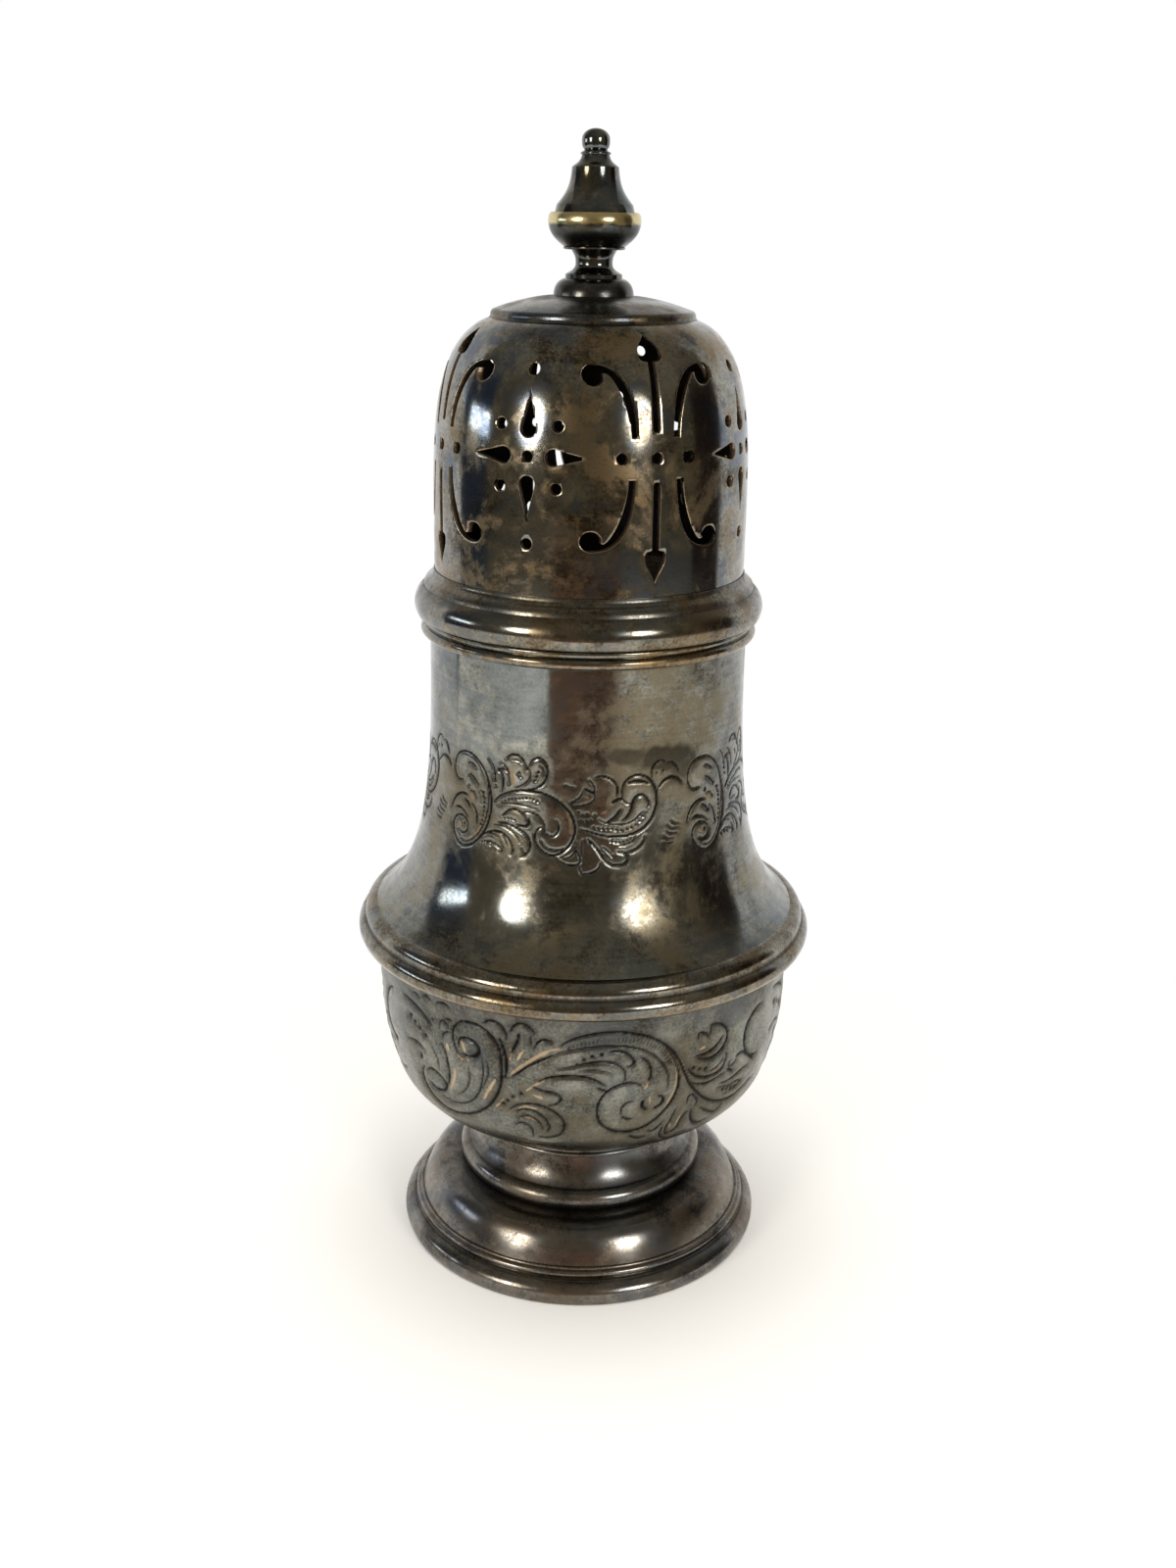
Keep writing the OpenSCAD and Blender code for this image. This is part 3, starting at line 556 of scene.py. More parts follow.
# Bowl, chased with acanthus scrolls
bowl = {
    "name": "chasedBowl", "node": "lower_bowl", "body": "body", "finish": "chased_plate", "wall": 0.9,
    "waist": 44.847, "seam": 52.947, "steps": 720, "crease": 60,
    # the engraved unit: its radius, its number round the body, its left end and its height on the outline
    "reference": 32.0, "repeats": 3, "start": -31.2, "band": (1.0, 28.5),
    # cuts and sunk ground in millimetres, then shares of black, stain and bright ridges, which are rubbed and
    # carry a painted highlight
    "finest": 0.24, "depth": 0.24, "hollow": 0.24, "black": 1.7, "stain": 0.44, "edges": 0.46,
    # spacing of the mesh's rows outside and inside, and how much thinner the rubs are drawn
    "row": 0.27, "insideRow": 3.4, "rubThin": 0.75, "stained": [(33.8, 53.0, 6.5, 0.42)],
    "strokes": [
        # big scroll with an eye at each end
        (0.6, -18.9, 20.3, -18.9, 21.4, -18.2, 22.0, -17.2, 22.1, -16.2, 21.8, -15.5, 21.0, -15.5, 20.0,
         -16.2, 19.3, -17.2, 19.1, -18.3, 19.4),
        (0.9, -15.5, 20.6, -15.8, 19.7, -16.7, 19.2),
        (0.6, -17.6, 18.3, -19.0, 19.0, -19.8, 20.4, -20.1, 21.8, -19.9, 23.0, -19.2, 24.1, -18.2, 24.8,
         -16.9, 25.0, -15.4, 24.9, -14.0, 24.2, -12.9, 23.1, -12.2, 21.8, -11.9, 20.2, -11.8, 18.3,
         -11.9, 16.4, -12.3, 14.6, -13.2, 12.6, -14.4, 10.8, -16.0, 9.2, -17.8, 7.9, -19.9, 6.9, -22.2, 6.3,
         -24.4, 6.5, -26.3, 7.4, -27.6, 8.9, -28.1, 10.7, -27.9, 12.4, -27.0, 13.7),
        (0.4, -15.0, 20.8, -14.9, 19.0, -14.8, 17.0, -15.2, 15.0, -16.0, 12.8, -17.4, 10.9, -19.2, 9.6,
         -21.5, 9.0, -23.6, 9.4),
        (0.35, -14.2, 19.5, -13.9, 17.5, -14.5, 15.5, -15.4, 13.4),
        (0.35, -17.4, 17.6, -17.2, 15.8, -17.8, 13.6, -19.0, 12.0, -20.4, 10.9),
        (0.6, -26.3, 13.2, -25.4, 13.9, -24.2, 13.6, -23.0, 12.9, -22.4, 11.9, -22.9, 10.8, -24.0, 10.2,
         -25.3, 10.2, -26.3, 10.9),
        (0.5, -22.4, 19.8, -21.7, 18.4, -21.4, 16.6, -21.3, 14.8, -21.6, 13.0, -22.3, 11.8),
        (0.35, -24.5, 18.5, -23.8, 17.2, -23.4, 16.0, -23.3, 14.6),
        (0.5, -31.0, 24.6, -29.0, 24.2, -27.2, 23.6, -25.6, 22.8, -24.4, 22.0),
        (0.4, -31.0, 17.0, -29.3, 17.5, -27.6, 17.4, -26.0, 16.7), (0.5, -27.5, 15.9, -27.5, 14.8),
        (0.5, -23.0, 26.3, -22.1, 26.8, -21.0, 26.8, -20.1, 26.2),
        (0.5, -25.7, 26.6, -25.0, 26.9, -24.1, 26.4), (0.4, -28.6, 26.0, -27.6, 26.3, -26.5, 25.8),
        (0.4, -21.4, 24.2, -20.6, 24.4, -19.9, 24.1),
        (0.4, -22.7, 22.0, -22.6, 23.2, -21.9, 23.7, -21.1, 23.4, -21.0, 22.6),
        (0.4, -22.1, 20.8, -21.8, 21.6, -20.8, 22.2),
        # leaves over the big scroll
        (0.6, -14.5, 25.6, -13.7, 26.2, -12.8, 26.3, -11.8, 25.8, -11.1, 24.8, -10.9, 23.8),
        (0.7, -12.0, 23.5, -11.5, 22.0, -11.1, 20.4, -11.0, 18.6, -11.3, 17.0),
        (0.6, -10.3, 25.1, -9.8, 26.0, -8.9, 26.7, -7.9, 26.6, -7.1, 26.0, -6.7, 25.2),
        (0.7, -9.0, 25.0, -9.2, 23.9, -9.6, 22.8, -10.2, 21.6),
        (0.5, -6.7, 23.0, -6.2, 23.9, -5.4, 24.4, -4.5, 24.3, -3.9, 23.9),
        (0.35, -7.1, 23.2, -7.3, 24.4, -6.8, 25.2),
        (0.5, -10.2, 17.4, -8.8, 18.6, -7.2, 20.0, -5.6, 21.0, -4.0, 22.0),
        # long stem with its hatched band
        (0.65, -3.0, 23.6, -1.6, 24.6, 0.0, 25.3, 2.0, 25.8, 4.2, 26.0, 6.2, 25.8, 8.0, 25.3, 9.8, 24.6,
         11.4, 23.6, 12.8, 22.4, 14.0, 21.0, 15.0, 19.4, 15.7, 17.6, 16.4, 16.0, 17.4, 14.3, 18.8, 12.6,
         20.4, 11.0, 22.4, 9.6, 24.8, 8.6, 27.4, 8.2, 30.0, 8.6, 32.5, 9.6),
        (0.45, -4.5, 21.6, -2.6, 22.6, -0.4, 23.2, 2.0, 23.6, 4.6, 23.6, 6.8, 23.3, 8.8, 22.6, 10.6, 21.4,
         12.0, 19.8, 12.9, 18.0, 13.2, 16.2, 12.9, 14.6),
        (0.55, 4.0, 22.6, 5.2, 22.7, 6.4, 22.3, 7.3, 21.5, 7.7, 20.6, 7.3, 20.1, 6.6, 20.0),
        (0.45, -3.6, 19.7, -2.0, 20.0, 0.0, 20.6, 2.2, 21.0, 4.2, 20.9, 5.6, 20.2, 6.4, 19.1, 6.4, 17.9,
         6.0, 17.0),
        (0.35, -0.4, 19.5, 1.6, 19.7, 3.4, 19.4, 4.6, 18.8),
        (0.6, -6.2, 17.2, -4.8, 18.0, -3.2, 18.4, -1.2, 18.6, 0.8, 18.4, 2.4, 17.7, 3.6, 16.8),
        (0.55, 2.4, 16.5, 3.2, 16.1, 3.9, 15.9),
        (0.5, 8.6, 21.4, 9.6, 20.6, 10.2, 19.4, 10.3, 18.0, 9.8, 16.8),
        # round scroll
        (0.6, 9.3, 16.1, 8.0, 17.0, 6.4, 17.1, 4.8, 16.5, 3.5, 15.3, 2.7, 13.7, 2.5, 12.0, 2.8, 10.2,
         3.7, 8.7, 5.2, 7.6, 7.0, 7.2, 8.8, 7.3, 10.4, 7.9, 11.8, 9.0, 13.0, 10.4, 14.2, 12.4, 14.9, 14.6,
         14.9, 16.8, 14.4, 18.8, 13.4, 20.8, 12.4, 22.2),
        (0.7, 9.4, 13.5, 9.4, 12.3, 10.2, 11.5),
        (0.7, 11.8, 14.0, 12.5, 13.6, 12.7, 12.8, 12.3, 12.0, 11.3, 11.6),
        (0.45, 6.2, 11.0, 6.2, 12.4, 6.9, 13.4, 8.0, 13.7), (0.55, 6.3, 10.8, 7.0, 10.1, 7.8, 10.0),
        # lower leaves
        (0.5, -7.0, 16.2, -5.4, 15.6, -4.0, 15.4, -3.0, 14.8, -3.0, 13.9, -3.8, 13.2, -4.8, 13.0),
        (0.5, -11.0, 11.0, -9.6, 12.2, -8.0, 12.8, -6.2, 12.8, -4.6, 12.2, -3.4, 11.2, -2.5, 9.8, -2.5, 8.2,
         -3.2, 6.8, -4.6, 5.9, -6.4, 5.6),
        (0.5, -9.9, 11.0, -8.6, 11.6, -7.2, 11.5, -6.0, 10.8, -5.2, 9.8, -4.8, 8.4, -5.2, 7.2),
        (0.45, -9.5, 9.8, -8.2, 10.3, -6.9, 9.8, -6.1, 8.8, -5.9, 7.8),
        (0.45, -10.4, 8.0, -9.0, 8.6, -8.0, 8.0, -7.5, 6.8, -7.7, 5.4),
        # right leaves
        (0.5, 17.8, 22.6, 18.0, 23.4, 18.6, 23.4, 19.4, 22.9, 19.8, 22.2),
        (0.4, 19.9, 24.4, 20.1, 23.4, 19.9, 22.4),
        (0.6, 20.0, 24.4, 21.2, 24.2, 22.4, 23.6, 23.3, 22.6, 23.7, 21.4, 23.3, 20.2, 22.3, 19.2,
         20.9, 18.6, 19.4, 18.7, 17.8, 19.3),
        (0.55, 22.6, 21.7, 22.0, 20.8, 20.8, 20.0, 19.2, 19.6, 17.6, 19.7),
        (0.6, 16.4, 17.8, 17.3, 16.6, 18.6, 15.7, 20.2, 15.2, 22.0, 15.2, 23.2, 15.9, 23.6, 17.0,
         23.8, 18.0, 23.2, 18.5),
        (0.4, 20.4, 16.2, 21.6, 16.3, 22.6, 17.0, 23.0, 17.9),
        (0.45, 16.6, 15.4, 18.0, 14.6, 19.8, 14.1, 21.8, 14.2, 23.8, 14.8),
        (0.6, 24.2, 15.1, 25.0, 14.7, 25.7, 14.2),
        (0.4, 24.6, 16.8, 24.4, 16.0, 24.9, 15.4, 25.7, 15.6, 26.2, 16.4),
        (0.6, 26.0, 16.8, 27.2, 17.0, 28.2, 16.5, 29.4, 15.6, 30.6, 14.6, 31.4, 14.2),
        (0.6, 31.6, 23.8, 30.4, 23.4, 29.2, 22.6, 28.3, 21.4, 27.8, 19.6, 28.0, 17.9, 28.8, 16.4,
         30.2, 15.2, 31.8, 14.8),
        (0.45, 23.0, 13.0, 24.8, 12.6, 26.6, 12.9, 28.4, 13.4, 29.8, 13.6),
        (0.4, 22.6, 12.2, 24.0, 11.9, 25.6, 11.4, 27.2, 11.5, 28.6, 11.0, 28.0, 10.2, 26.4, 9.9,
         24.6, 10.2),
        (0.45, 17.0, 11.2, 17.2, 12.4, 17.8, 12.6, 18.5, 11.8, 19.0, 10.8, 18.6, 10.0),
        (0.5, 18.2, 9.6, 18.4, 8.2, 19.0, 6.8, 20.0, 5.6, 21.4, 5.2, 22.4, 5.6),
        (0.4, 19.8, 9.4, 21.0, 8.4, 22.4, 7.4, 23.8, 6.6, 24.8, 7.2, 25.2, 8.0),
        (0.35, 18.8, 6.4, 20.2, 5.0, 22.0, 4.4),
        (0.5, 15.2, 10.6, 14.9, 9.2, 14.6, 7.8, 14.2, 6.4, 14.6, 4.8, 15.6, 5.0, 16.4, 6.2, 16.6, 7.8,
         17.4, 9.4),
        (0.5, 13.4, 7.0, 13.4, 5.4, 13.8, 4.2, 14.4, 3.2), (0.55, 8.0, 6.2, 8.8, 5.4, 9.8, 5.0, 10.6, 5.2),
        (0.4, 10.8, 7.0, 11.6, 6.5, 12.6, 7.2, 13.4, 8.6),
    ],
    # ticks across a line: spacing, length, width, line
    "hatch": (0.55, 1.0, 0.32, [(-2.0, 23.2), (0.0, 24.0), (2.5, 24.6), (5.0, 24.7), (7.0, 24.4),
                                (9.0, 23.8), (10.8, 22.9), (12.2, 21.6), (13.4, 19.6)]),
    "dots": [
        (0.36, -29.7, 21.6, -28.3, 21.1, -27.1, 20.5, -26.0, 19.6, -24.0, 23.2),
        (0.3, -0.6, 20.6, 0.4, 21.4), (0.42, 1.6, 22.0, 2.9, 22.3),
        (0.38, -11.8, 11.9, -11.0, 12.9, -10.1, 13.8, -8.9, 14.5),
        (0.4, 17.3, 17.8, 18.4, 17.3, 19.7, 16.8, 24.3, 11.2, 25.4, 10.8, 26.6, 10.5, 27.6, 10.4),
    ],
    "rubs": [
        (1.1, -19.9, 16.2, -20.1, 14.6, -20.8, 13.0, -21.5, 11.6),
        (1.0, -12.8, 16.4, -13.4, 15.2, -14.2, 13.8, -15.0, 12.2), (0.9, -21.1, 20.0, -20.9, 19.0),
        (1.2, -18.5, 21.4, -17.9, 20.4, -17.9, 19.8), (0.9, -19.2, 18.9, -18.2, 18.4, -17.0, 18.5),
        (1.1, -10.3, 17.9, -9.0, 19.2, -7.5, 20.5, -6.0, 21.7, -4.4, 22.8, -3.0, 23.1),
        (0.7, -9.2, 20.6, -8.8, 21.5, -8.2, 22.4), (0.6, -10.4, 20.3, -10.2, 21.4, -10.5, 22.4),
        (0.8, -8.0, 15.4, -6.6, 16.6, -5.2, 17.8), (0.9, -7.0, 14.8, -5.6, 14.4),
        (0.6, -13.6, 10.6, -12.4, 12.0, -11.4, 13.4), (0.8, -9.6, 11.5, -8.2, 12.2, -6.6, 12.1),
        (0.6, -8.9, 10.2, -7.4, 9.9, -6.6, 9.2),
        (0.8, 12.5, 22.0, 13.6, 20.2, 14.4, 18.4, 14.5, 16.4, 14.2, 14.4, 13.4, 12.2, 12.9, 10.8),
        (0.8, 14.3, 20.8, 15.2, 19.2, 15.8, 17.4, 16.2, 15.8), (0.8, 9.0, 16.6, 9.6, 16.0, 9.9, 17.2),
        (0.5, 10.3, 14.4, 10.5, 12.8), (0.6, 16.4, 9.8, 16.2, 8.4, 15.8, 7.0, 16.2, 5.8),
        (0.6, 14.4, 8.0, 14.9, 6.6), (0.5, 17.0, 14.4, 18.2, 13.0), (0.7, 18.2, 20.8, 19.0, 21.0),
        (0.5, 22.8, 17.0, 22.0, 16.2, 20.6, 15.8),
    ],
}


def hatched(spacing, length, width, points):
    fine = 0.05
    run = smoothStroke(points, fine)
    along = np.gradient(run, axis=0)
    along /= np.maximum(np.linalg.norm(along, axis=1), 1e-9)[:, None]
    ticks = []
    for i in range(0, len(run), max(1, int(spacing / fine))):
        half = np.array([-along[i, 1], along[i, 0]]) * length / 2
        ticks.append((width, *(run[i] - half), *run[i], *(run[i] + half)))
    return ticks


waist, seam = bowl["waist"], bowl["seam"]
bowlLow = distinct(arc((0, waist + 24.2), 50.5, -90, -58.3, 8))
bowlHigh = distinct(arc((20.9, waist - 9.68), 10.7, -58.3, -20, 60) + arc((-5.7, waist), 39, -20, 0, 60)
                    + curve((33.3, waist), 90, (34.1, seam), 80, n=30))
bowlOutline = distinct(bowlLow + evenly(bowlHigh, bowl["row"])[1:])
bowlInside = innerWall(evenly(bowlOutline, bowl["insideRow"]), bowl["wall"], 0, seam)
bowlMesh = turned(bowl, bowlOutline + bowlInside)
# lines are measured from the turn, the outline from the axis
turnRun = sum(math.dist(a, b) for a, b in zip(bowlLow, bowlLow[1:]))
bowl["strokes"] = drawn(bowl["strokes"] + hatched(*bowl["hatch"]), turnRun)
bowl["dots"] = drawn(bowl["dots"], turnRun)
bowl["rubs"] = drawn(bowl["rubs"], turnRun, bowl["rubThin"])
bowl["band"] = tuple(turnRun + v for v in bowl["band"])
engrave(bowlMesh, bowl, bowlOutline)
place(bowl, bowlMesh)
print("bowl chased")

# Girdle over the seam
girdle = {"name": "girdleMoulding", "node": "girdle_moulding", "body": "body", "finish": "worn_plate",
          "seam": 52.947, "shoulder": 58.747, "inside": 31.8,
          "worn": [(36.4, 53.6, 1.0, 0.42), (35.5, 57.0, 0.6, 0.2)],
          "stained": [(35.5, 56.3, 0.5, 0.7)]}
seam, shoulder, inside = (girdle[k] for k in ("seam", "shoulder", "inside"))
place(girdle, turned(girdle, [(inside, seam)] + arc((34.8, seam + 1.7), 1.85, -66.8, 64, 26)
                     + arc((33.6, shoulder - 1.95), 1.95, -5, 90, 22) + [(inside, shoulder)]))

# Neck, engraved with acanthus scrolls and tick marks
neck = {
    "name": "engravedNeck", "node": "neck", "body": "body", "finish": "tarnished_plate", "wall": 0.9,
    "shoulder": 58.747, "mouth": 104.847, "steps": 720, "crease": 60,
    # spacing of the mesh's rows below, in and above the engraved band, and inside
    "rows": (0.9, 0.215, 2.0), "insideRow": 6.0,
    "reference": 26.0, "repeats": 4, "start": -24.6, "band": (14.5, 36.0),
    "finest": 0.19, "depth": 0.17, "hollow": 0.06, "black": 2.2, "stain": 0.56, "edges": 0.2,
    # single stains: round the body, up, half width, half height, amount
    "blots": [(12.6, 32.5, 6.0, 2.3, 0.72), (6.6, 33.2, 4.6, 1.5, 0.6), (16.2, 31.0, 3.2, 2.6, 0.6)],
    "strokes": [
        # left scroll
        (0.5, -21.5, 27.0, -22.7, 26.9, -23.6, 27.7, -23.8, 29.0, -23.3, 30.3, -22.2, 31.2, -20.7, 31.5,
         -19.2, 31.2, -17.9, 30.4, -16.7, 29.1, -15.9, 27.5, -15.4, 25.7, -15.3, 24.0, -15.6, 22.2,
         -16.2, 20.5, -17.2, 19.0, -18.6, 17.7, -20.2, 17.1, -21.6, 17.4, -22.8, 18.5, -23.2, 19.9,
         -22.7, 21.0, -21.6, 21.5, -20.3, 21.2, -19.7, 20.4, -20.0, 19.3, -20.9, 18.9, -21.8, 19.3),
        (0.3, -17.0, 29.6, -16.3, 28.0, -15.95, 26.0, -15.95, 23.6, -16.6, 21.2, -17.8, 19.2, -19.6, 17.9,
         -20.9, 18.1),
        (0.5, -20.0, 28.3, -19.0, 27.8, -18.0, 26.9), (0.35, -17.6, 26.3, -17.0, 25.7, -16.7, 25.0),
        (0.35, -19.6, 25.8, -18.9, 25.6, -18.4, 25.0),
        (0.5, -24.1, 22.1, -23.7, 23.2, -22.8, 24.3, -21.6, 24.9, -20.3, 24.9),
        (0.55, -21.0, 24.1, -20.2, 23.8, -19.6, 23.1),
        (0.5, -19.2, 23.8, -18.4, 23.0, -18.0, 22.0, -18.0, 20.9),
        (0.4, -23.0, 22.5, -21.9, 22.6, -20.7, 22.2, -19.8, 21.5),
        (0.4, -20.2, 30.1, -19.4, 29.9, -18.6, 29.5),
        # leaves over the stem
        (0.5, -13.4, 26.8, -13.3, 27.8, -13.3, 28.8, -13.7, 29.7, -14.3, 30.0, -13.4, 30.3, -12.7, 30.1),
        (0.35, -13.9, 31.3, -13.1, 30.9, -12.5, 30.3, -12.2, 29.3, -12.2, 28.2),
        (0.5, -12.9, 32.0, -12.0, 32.6, -10.9, 32.7, -9.9, 32.1, -9.3, 31.2),
        (0.28, -11.8, 31.9, -10.8, 32.0, -10.0, 31.5),
        (0.5, -8.9, 31.3, -8.3, 32.3, -7.3, 32.7, -6.4, 32.2, -5.9, 31.2, -6.0, 30.0, -6.6, 28.9,
         -7.7, 28.1, -9.0, 27.8),
        (0.35, -9.0, 31.0, -8.6, 30.2, -9.0, 29.2, -10.0, 28.3, -11.2, 27.8),
        (0.28, -7.0, 31.7, -6.5, 31.0, -6.5, 30.2),
        (0.3, -16.2, 31.6, -15.4, 30.8, -14.9, 29.8, -14.7, 28.6),
        # stem that curls into the middle scroll
        (0.55, -14.6, 25.3, -13.6, 26.2, -12.2, 26.9, -10.6, 27.4, -8.8, 27.6, -6.9, 27.5, -5.0, 26.9,
         -3.5, 26.0, -2.3, 24.8, -1.6, 23.2, -1.6, 21.5, -2.3, 19.9, -3.6, 18.7, -5.0, 18.3, -6.3, 18.8,
         -7.3, 19.8, -7.6, 21.1, -7.1, 22.1, -6.5, 22.4),
        (0.3, -14.0, 24.8, -12.4, 25.2, -10.5, 25.4, -8.8, 25.2, -7.2, 25.0),
        (0.45, -13.2, 23.2, -12.4, 24.0, -11.3, 24.5, -10.2, 24.3, -9.3, 23.6, -8.8, 22.9),
        (0.6, -10.6, 22.3, -9.9, 22.1, -9.2, 22.2, -8.6, 22.8, -8.7, 23.5),
        (0.4, -9.6, 24.3, -8.4, 24.4, -7.2, 24.0, -6.4, 23.2, -6.1, 22.3, -6.2, 21.6),
        (0.4, -6.3, 21.7, -5.4, 21.2, -4.5, 21.3, -4.0, 22.2, -4.1, 23.2, -4.5, 23.6),
        (0.35, -6.6, 20.4, -5.8, 19.4, -4.4, 19.1, -3.0, 19.5),
        # leaves under the stem
        (0.45, -16.5, 19.7, -15.2, 20.4, -13.7, 20.7, -12.4, 20.3, -11.5, 19.5, -11.0, 18.3, -11.3, 17.6),
        (0.4, -16.3, 18.7, -15.0, 18.9, -13.8, 18.6, -12.8, 18.0, -13.4, 17.6),
        (0.3, -13.4, 19.4, -12.9, 18.8, -12.6, 18.3),
        (0.35, -14.7, 21.5, -13.2, 21.7, -11.7, 21.3, -10.5, 20.5, -9.9, 19.6),
        (0.5, -13.8, 22.1, -12.1, 22.1, -10.3, 21.6, -8.9, 20.9, -8.3, 19.7, -8.6, 18.4, -9.6, 17.5),
        (0.35, -9.7, 18.9, -9.2, 18.2, -9.0, 17.6), (0.28, -15.8, 20.0, -14.6, 20.1, -13.5, 19.8),
        (0.28, -13.0, 20.3, -12.4, 19.6, -12.1, 18.8),
        # right leaves and scroll
        (0.3, -3.2, 29.0, -2.4, 28.7, -1.6, 28.6), (0.6, -0.2, 28.5, 0.5, 28.2, 1.3, 27.8),
        (0.35, -0.3, 28.3, -0.7, 27.4, -1.5, 26.7, -2.4, 26.3),
        (0.35, 1.5, 27.6, 1.3, 26.8, 0.6, 26.3, -0.4, 26.0, -1.8, 25.9),
        (0.35, 0.5, 29.9, 1.1, 29.2, 1.4, 28.3, 1.3, 27.6),
        (0.45, 1.4, 30.2, 2.5, 30.4, 3.8, 30.0, 4.7, 29.1, 4.9, 28.1, 4.7, 27.3),
        (0.6, 4.1, 26.4, 4.9, 26.8, 5.7, 26.9), (0.5, 3.3, 23.5, 4.2, 24.0, 4.9, 24.7, 5.4, 25.4),
        (0.55, 5.6, 23.6, 6.3, 24.1, 6.9, 24.9, 7.2, 25.8, 7.5, 26.7, 8.3, 27.3, 9.3, 27.1, 9.9, 26.2,
         9.8, 25.4),
        (0.55, 5.7, 26.9, 5.6, 28.2, 6.0, 29.3, 7.0, 30.1, 8.3, 30.3, 9.6, 29.9, 10.6, 28.9, 11.2, 27.6,
         11.3, 26.2, 10.9, 24.7, 10.2, 23.4, 9.0, 22.3, 7.5, 21.6, 5.8, 21.3, 4.0, 21.3, 2.2, 21.6,
         0.6, 22.1, -0.7, 22.4),
        (0.6, 6.6, 29.3, 7.8, 29.4, 9.0, 29.3, 9.9, 28.9),
        (0.35, 9.4, 24.8, 8.6, 24.5, 7.6, 23.6, 6.2, 23.1, 4.6, 23.1, 3.0, 23.4, 2.0, 24.0),
        (0.35, 5.7, 26.9, 6.4, 26.2, 7.1, 26.1),
        (0.5, 9.2, 21.1, 8.9, 20.2, 8.1, 19.4, 7.0, 18.9, 5.9, 18.8, 4.9, 19.0),
        (0.35, 7.5, 21.0, 7.3, 20.5, 6.4, 20.1, 5.3, 19.9),
        (0.5, 0.4, 21.0, 1.2, 20.3, 1.9, 19.4, 2.5, 18.5, 3.2, 17.6, 4.3, 17.0, 5.6, 17.0, 6.3, 17.6,
         6.2, 18.4, 5.6, 19.0),
        (0.3, 2.6, 19.8, 3.5, 19.1, 3.9, 18.6), (0.45, 0.0, 15.8, 1.0, 15.9, 2.0, 16.5, 2.4, 17.4),
        (0.35, -0.8, 16.9, -0.5, 16.0, -0.2, 15.5),
        (0.4, -1.6, 19.8, -1.0, 18.9, -0.6, 17.8, -0.9, 17.2, -2.2, 17.0, -3.4, 17.4, -4.2, 18.0),
        (0.3, -0.3, 20.9, -0.5, 19.8, -0.4, 18.6), (0.3, -1.2, 20.6, -1.3, 19.5, -1.9, 18.4, -3.0, 17.9),
        # small leaf and tick marks
        (0.45, 10.5, 29.7, 10.4, 30.8, 11.0, 31.8, 12.1, 32.2, 12.7, 31.9),
        (0.35, 13.0, 31.7, 14.1, 31.6, 14.9, 30.8, 15.3, 30.0),
        (0.6, 11.6, 28.1, 12.5, 29.0, 13.8, 29.4, 15.0, 29.1, 15.9, 28.3),
        (0.3, 13.7, 23.0, 14.3, 22.4, 15.4, 22.1), (0.3, 13.0, 22.4, 13.7, 21.7, 15.3, 21.5),
        (0.32, 12.9, 21.4, 13.5, 20.9, 14.9, 20.8), (0.32, 12.4, 20.8, 13.0, 20.2, 14.3, 20.0),
        (0.3, 12.2, 19.7, 13.0, 19.4, 14.2, 19.4),
    ],
    "dots": [
        (0.27, -16.9, 26.1, -16.8, 25.3, -16.75, 24.6, -16.7, 23.9, -16.75, 23.2, -16.8, 22.5, -16.9, 21.8,
         -17.1, 21.1, -20.1, 26.4, -20.6, 20.4),
        (0.25, -14.9, 29.2, -14.8, 28.4, -14.6, 27.6, -7.6, 29.9, -7.8, 29.3, -10.2, 29.6),
        (0.33, -9.2, 30.9, -10.5, 30.1, -7.3, 30.6),
        (0.25, -13.4, 25.2, -12.8, 25.5, -12.2, 25.8, -11.6, 25.95, -11.0, 26.1, -10.4, 26.2, -9.8, 26.35,
         -9.2, 26.45, -8.6, 26.5, -8.0, 26.4, -7.4, 26.2),
        (0.25, -12.8, 22.9, -12.2, 22.95, -11.6, 23.0, -11.0, 22.9),
        (0.24, -16.6, 18.5, -15.6, 18.5, -14.8, 18.4),
        (0.27, 8.9, 24.1, 8.4, 23.4, 7.8, 22.9, 7.1, 22.5, 6.4, 22.3, 5.6, 22.2, 4.8, 22.3, 4.1, 22.5,
         3.4, 22.5, 2.7, 22.5, 2.0, 22.6, 1.3, 22.7),
        (0.24, 7.0, 20.8, 6.4, 20.6, 5.8, 20.5, 5.2, 20.4, 4.6, 20.5, 4.0, 20.6),
        (0.28, 0.8, 20.5, 1.5, 19.9, 2.1, 19.2, 2.6, 18.5, 4.2, 18.4),
        (0.24, -1.0, 25.0, -0.4, 24.6, 0.3, 24.7, -0.6, 23.8, 0.2, 23.7, 0.9, 23.8, 1.4, 24.6, 12.4, 30.6,
         11.3, 30.4),
    ],
    "rubs": [
        (0.8, -12.0, 30.4, -11.6, 29.2, -11.4, 28.2), (0.9, -19.6, 25.2, -18.8, 24.6),
        (0.6, -16.4, 22.6, -16.9, 20.8, -18.0, 18.8), (0.6, -2.9, 24.9, -2.2, 23.4, -2.2, 21.6),
        (0.7, -22.0, 20.4, -21.2, 20.0), (0.6, -0.3, 27.4, 0.5, 27.2), (0.6, 2.4, 24.8, 3.2, 25.1),
    ],
}
shoulder, mouth = neck["shoulder"], neck["mouth"]
neckCurve = curve((33.6, shoulder), 143, (24.4, mouth - 5.4), 90, (0.19, 0.66), 300) + [(24.4, mouth)]
neckRun = runAlong(neckCurve)
limits = (0.0,) + neck["band"] + (neckRun[-1],)
neckRows = []
for i, spacing in enumerate(neck["rows"]):
    neckRows += evenly([p for p, s in zip(neckCurve, neckRun) if limits[i] <= s <= limits[i + 1]], spacing)
neckOutline = distinct(neckRows)
neckInside = innerWall(evenly(neckOutline, neck["insideRow"]), neck["wall"], shoulder, mouth)
neckMesh = turned(neck, neckOutline + neckInside)
for kind in ("strokes", "dots", "rubs"):
    neck[kind] = drawn(neck[kind])
engrave(neckMesh, neck, neckOutline)
place(neck, neckMesh)
print("neck engraved")

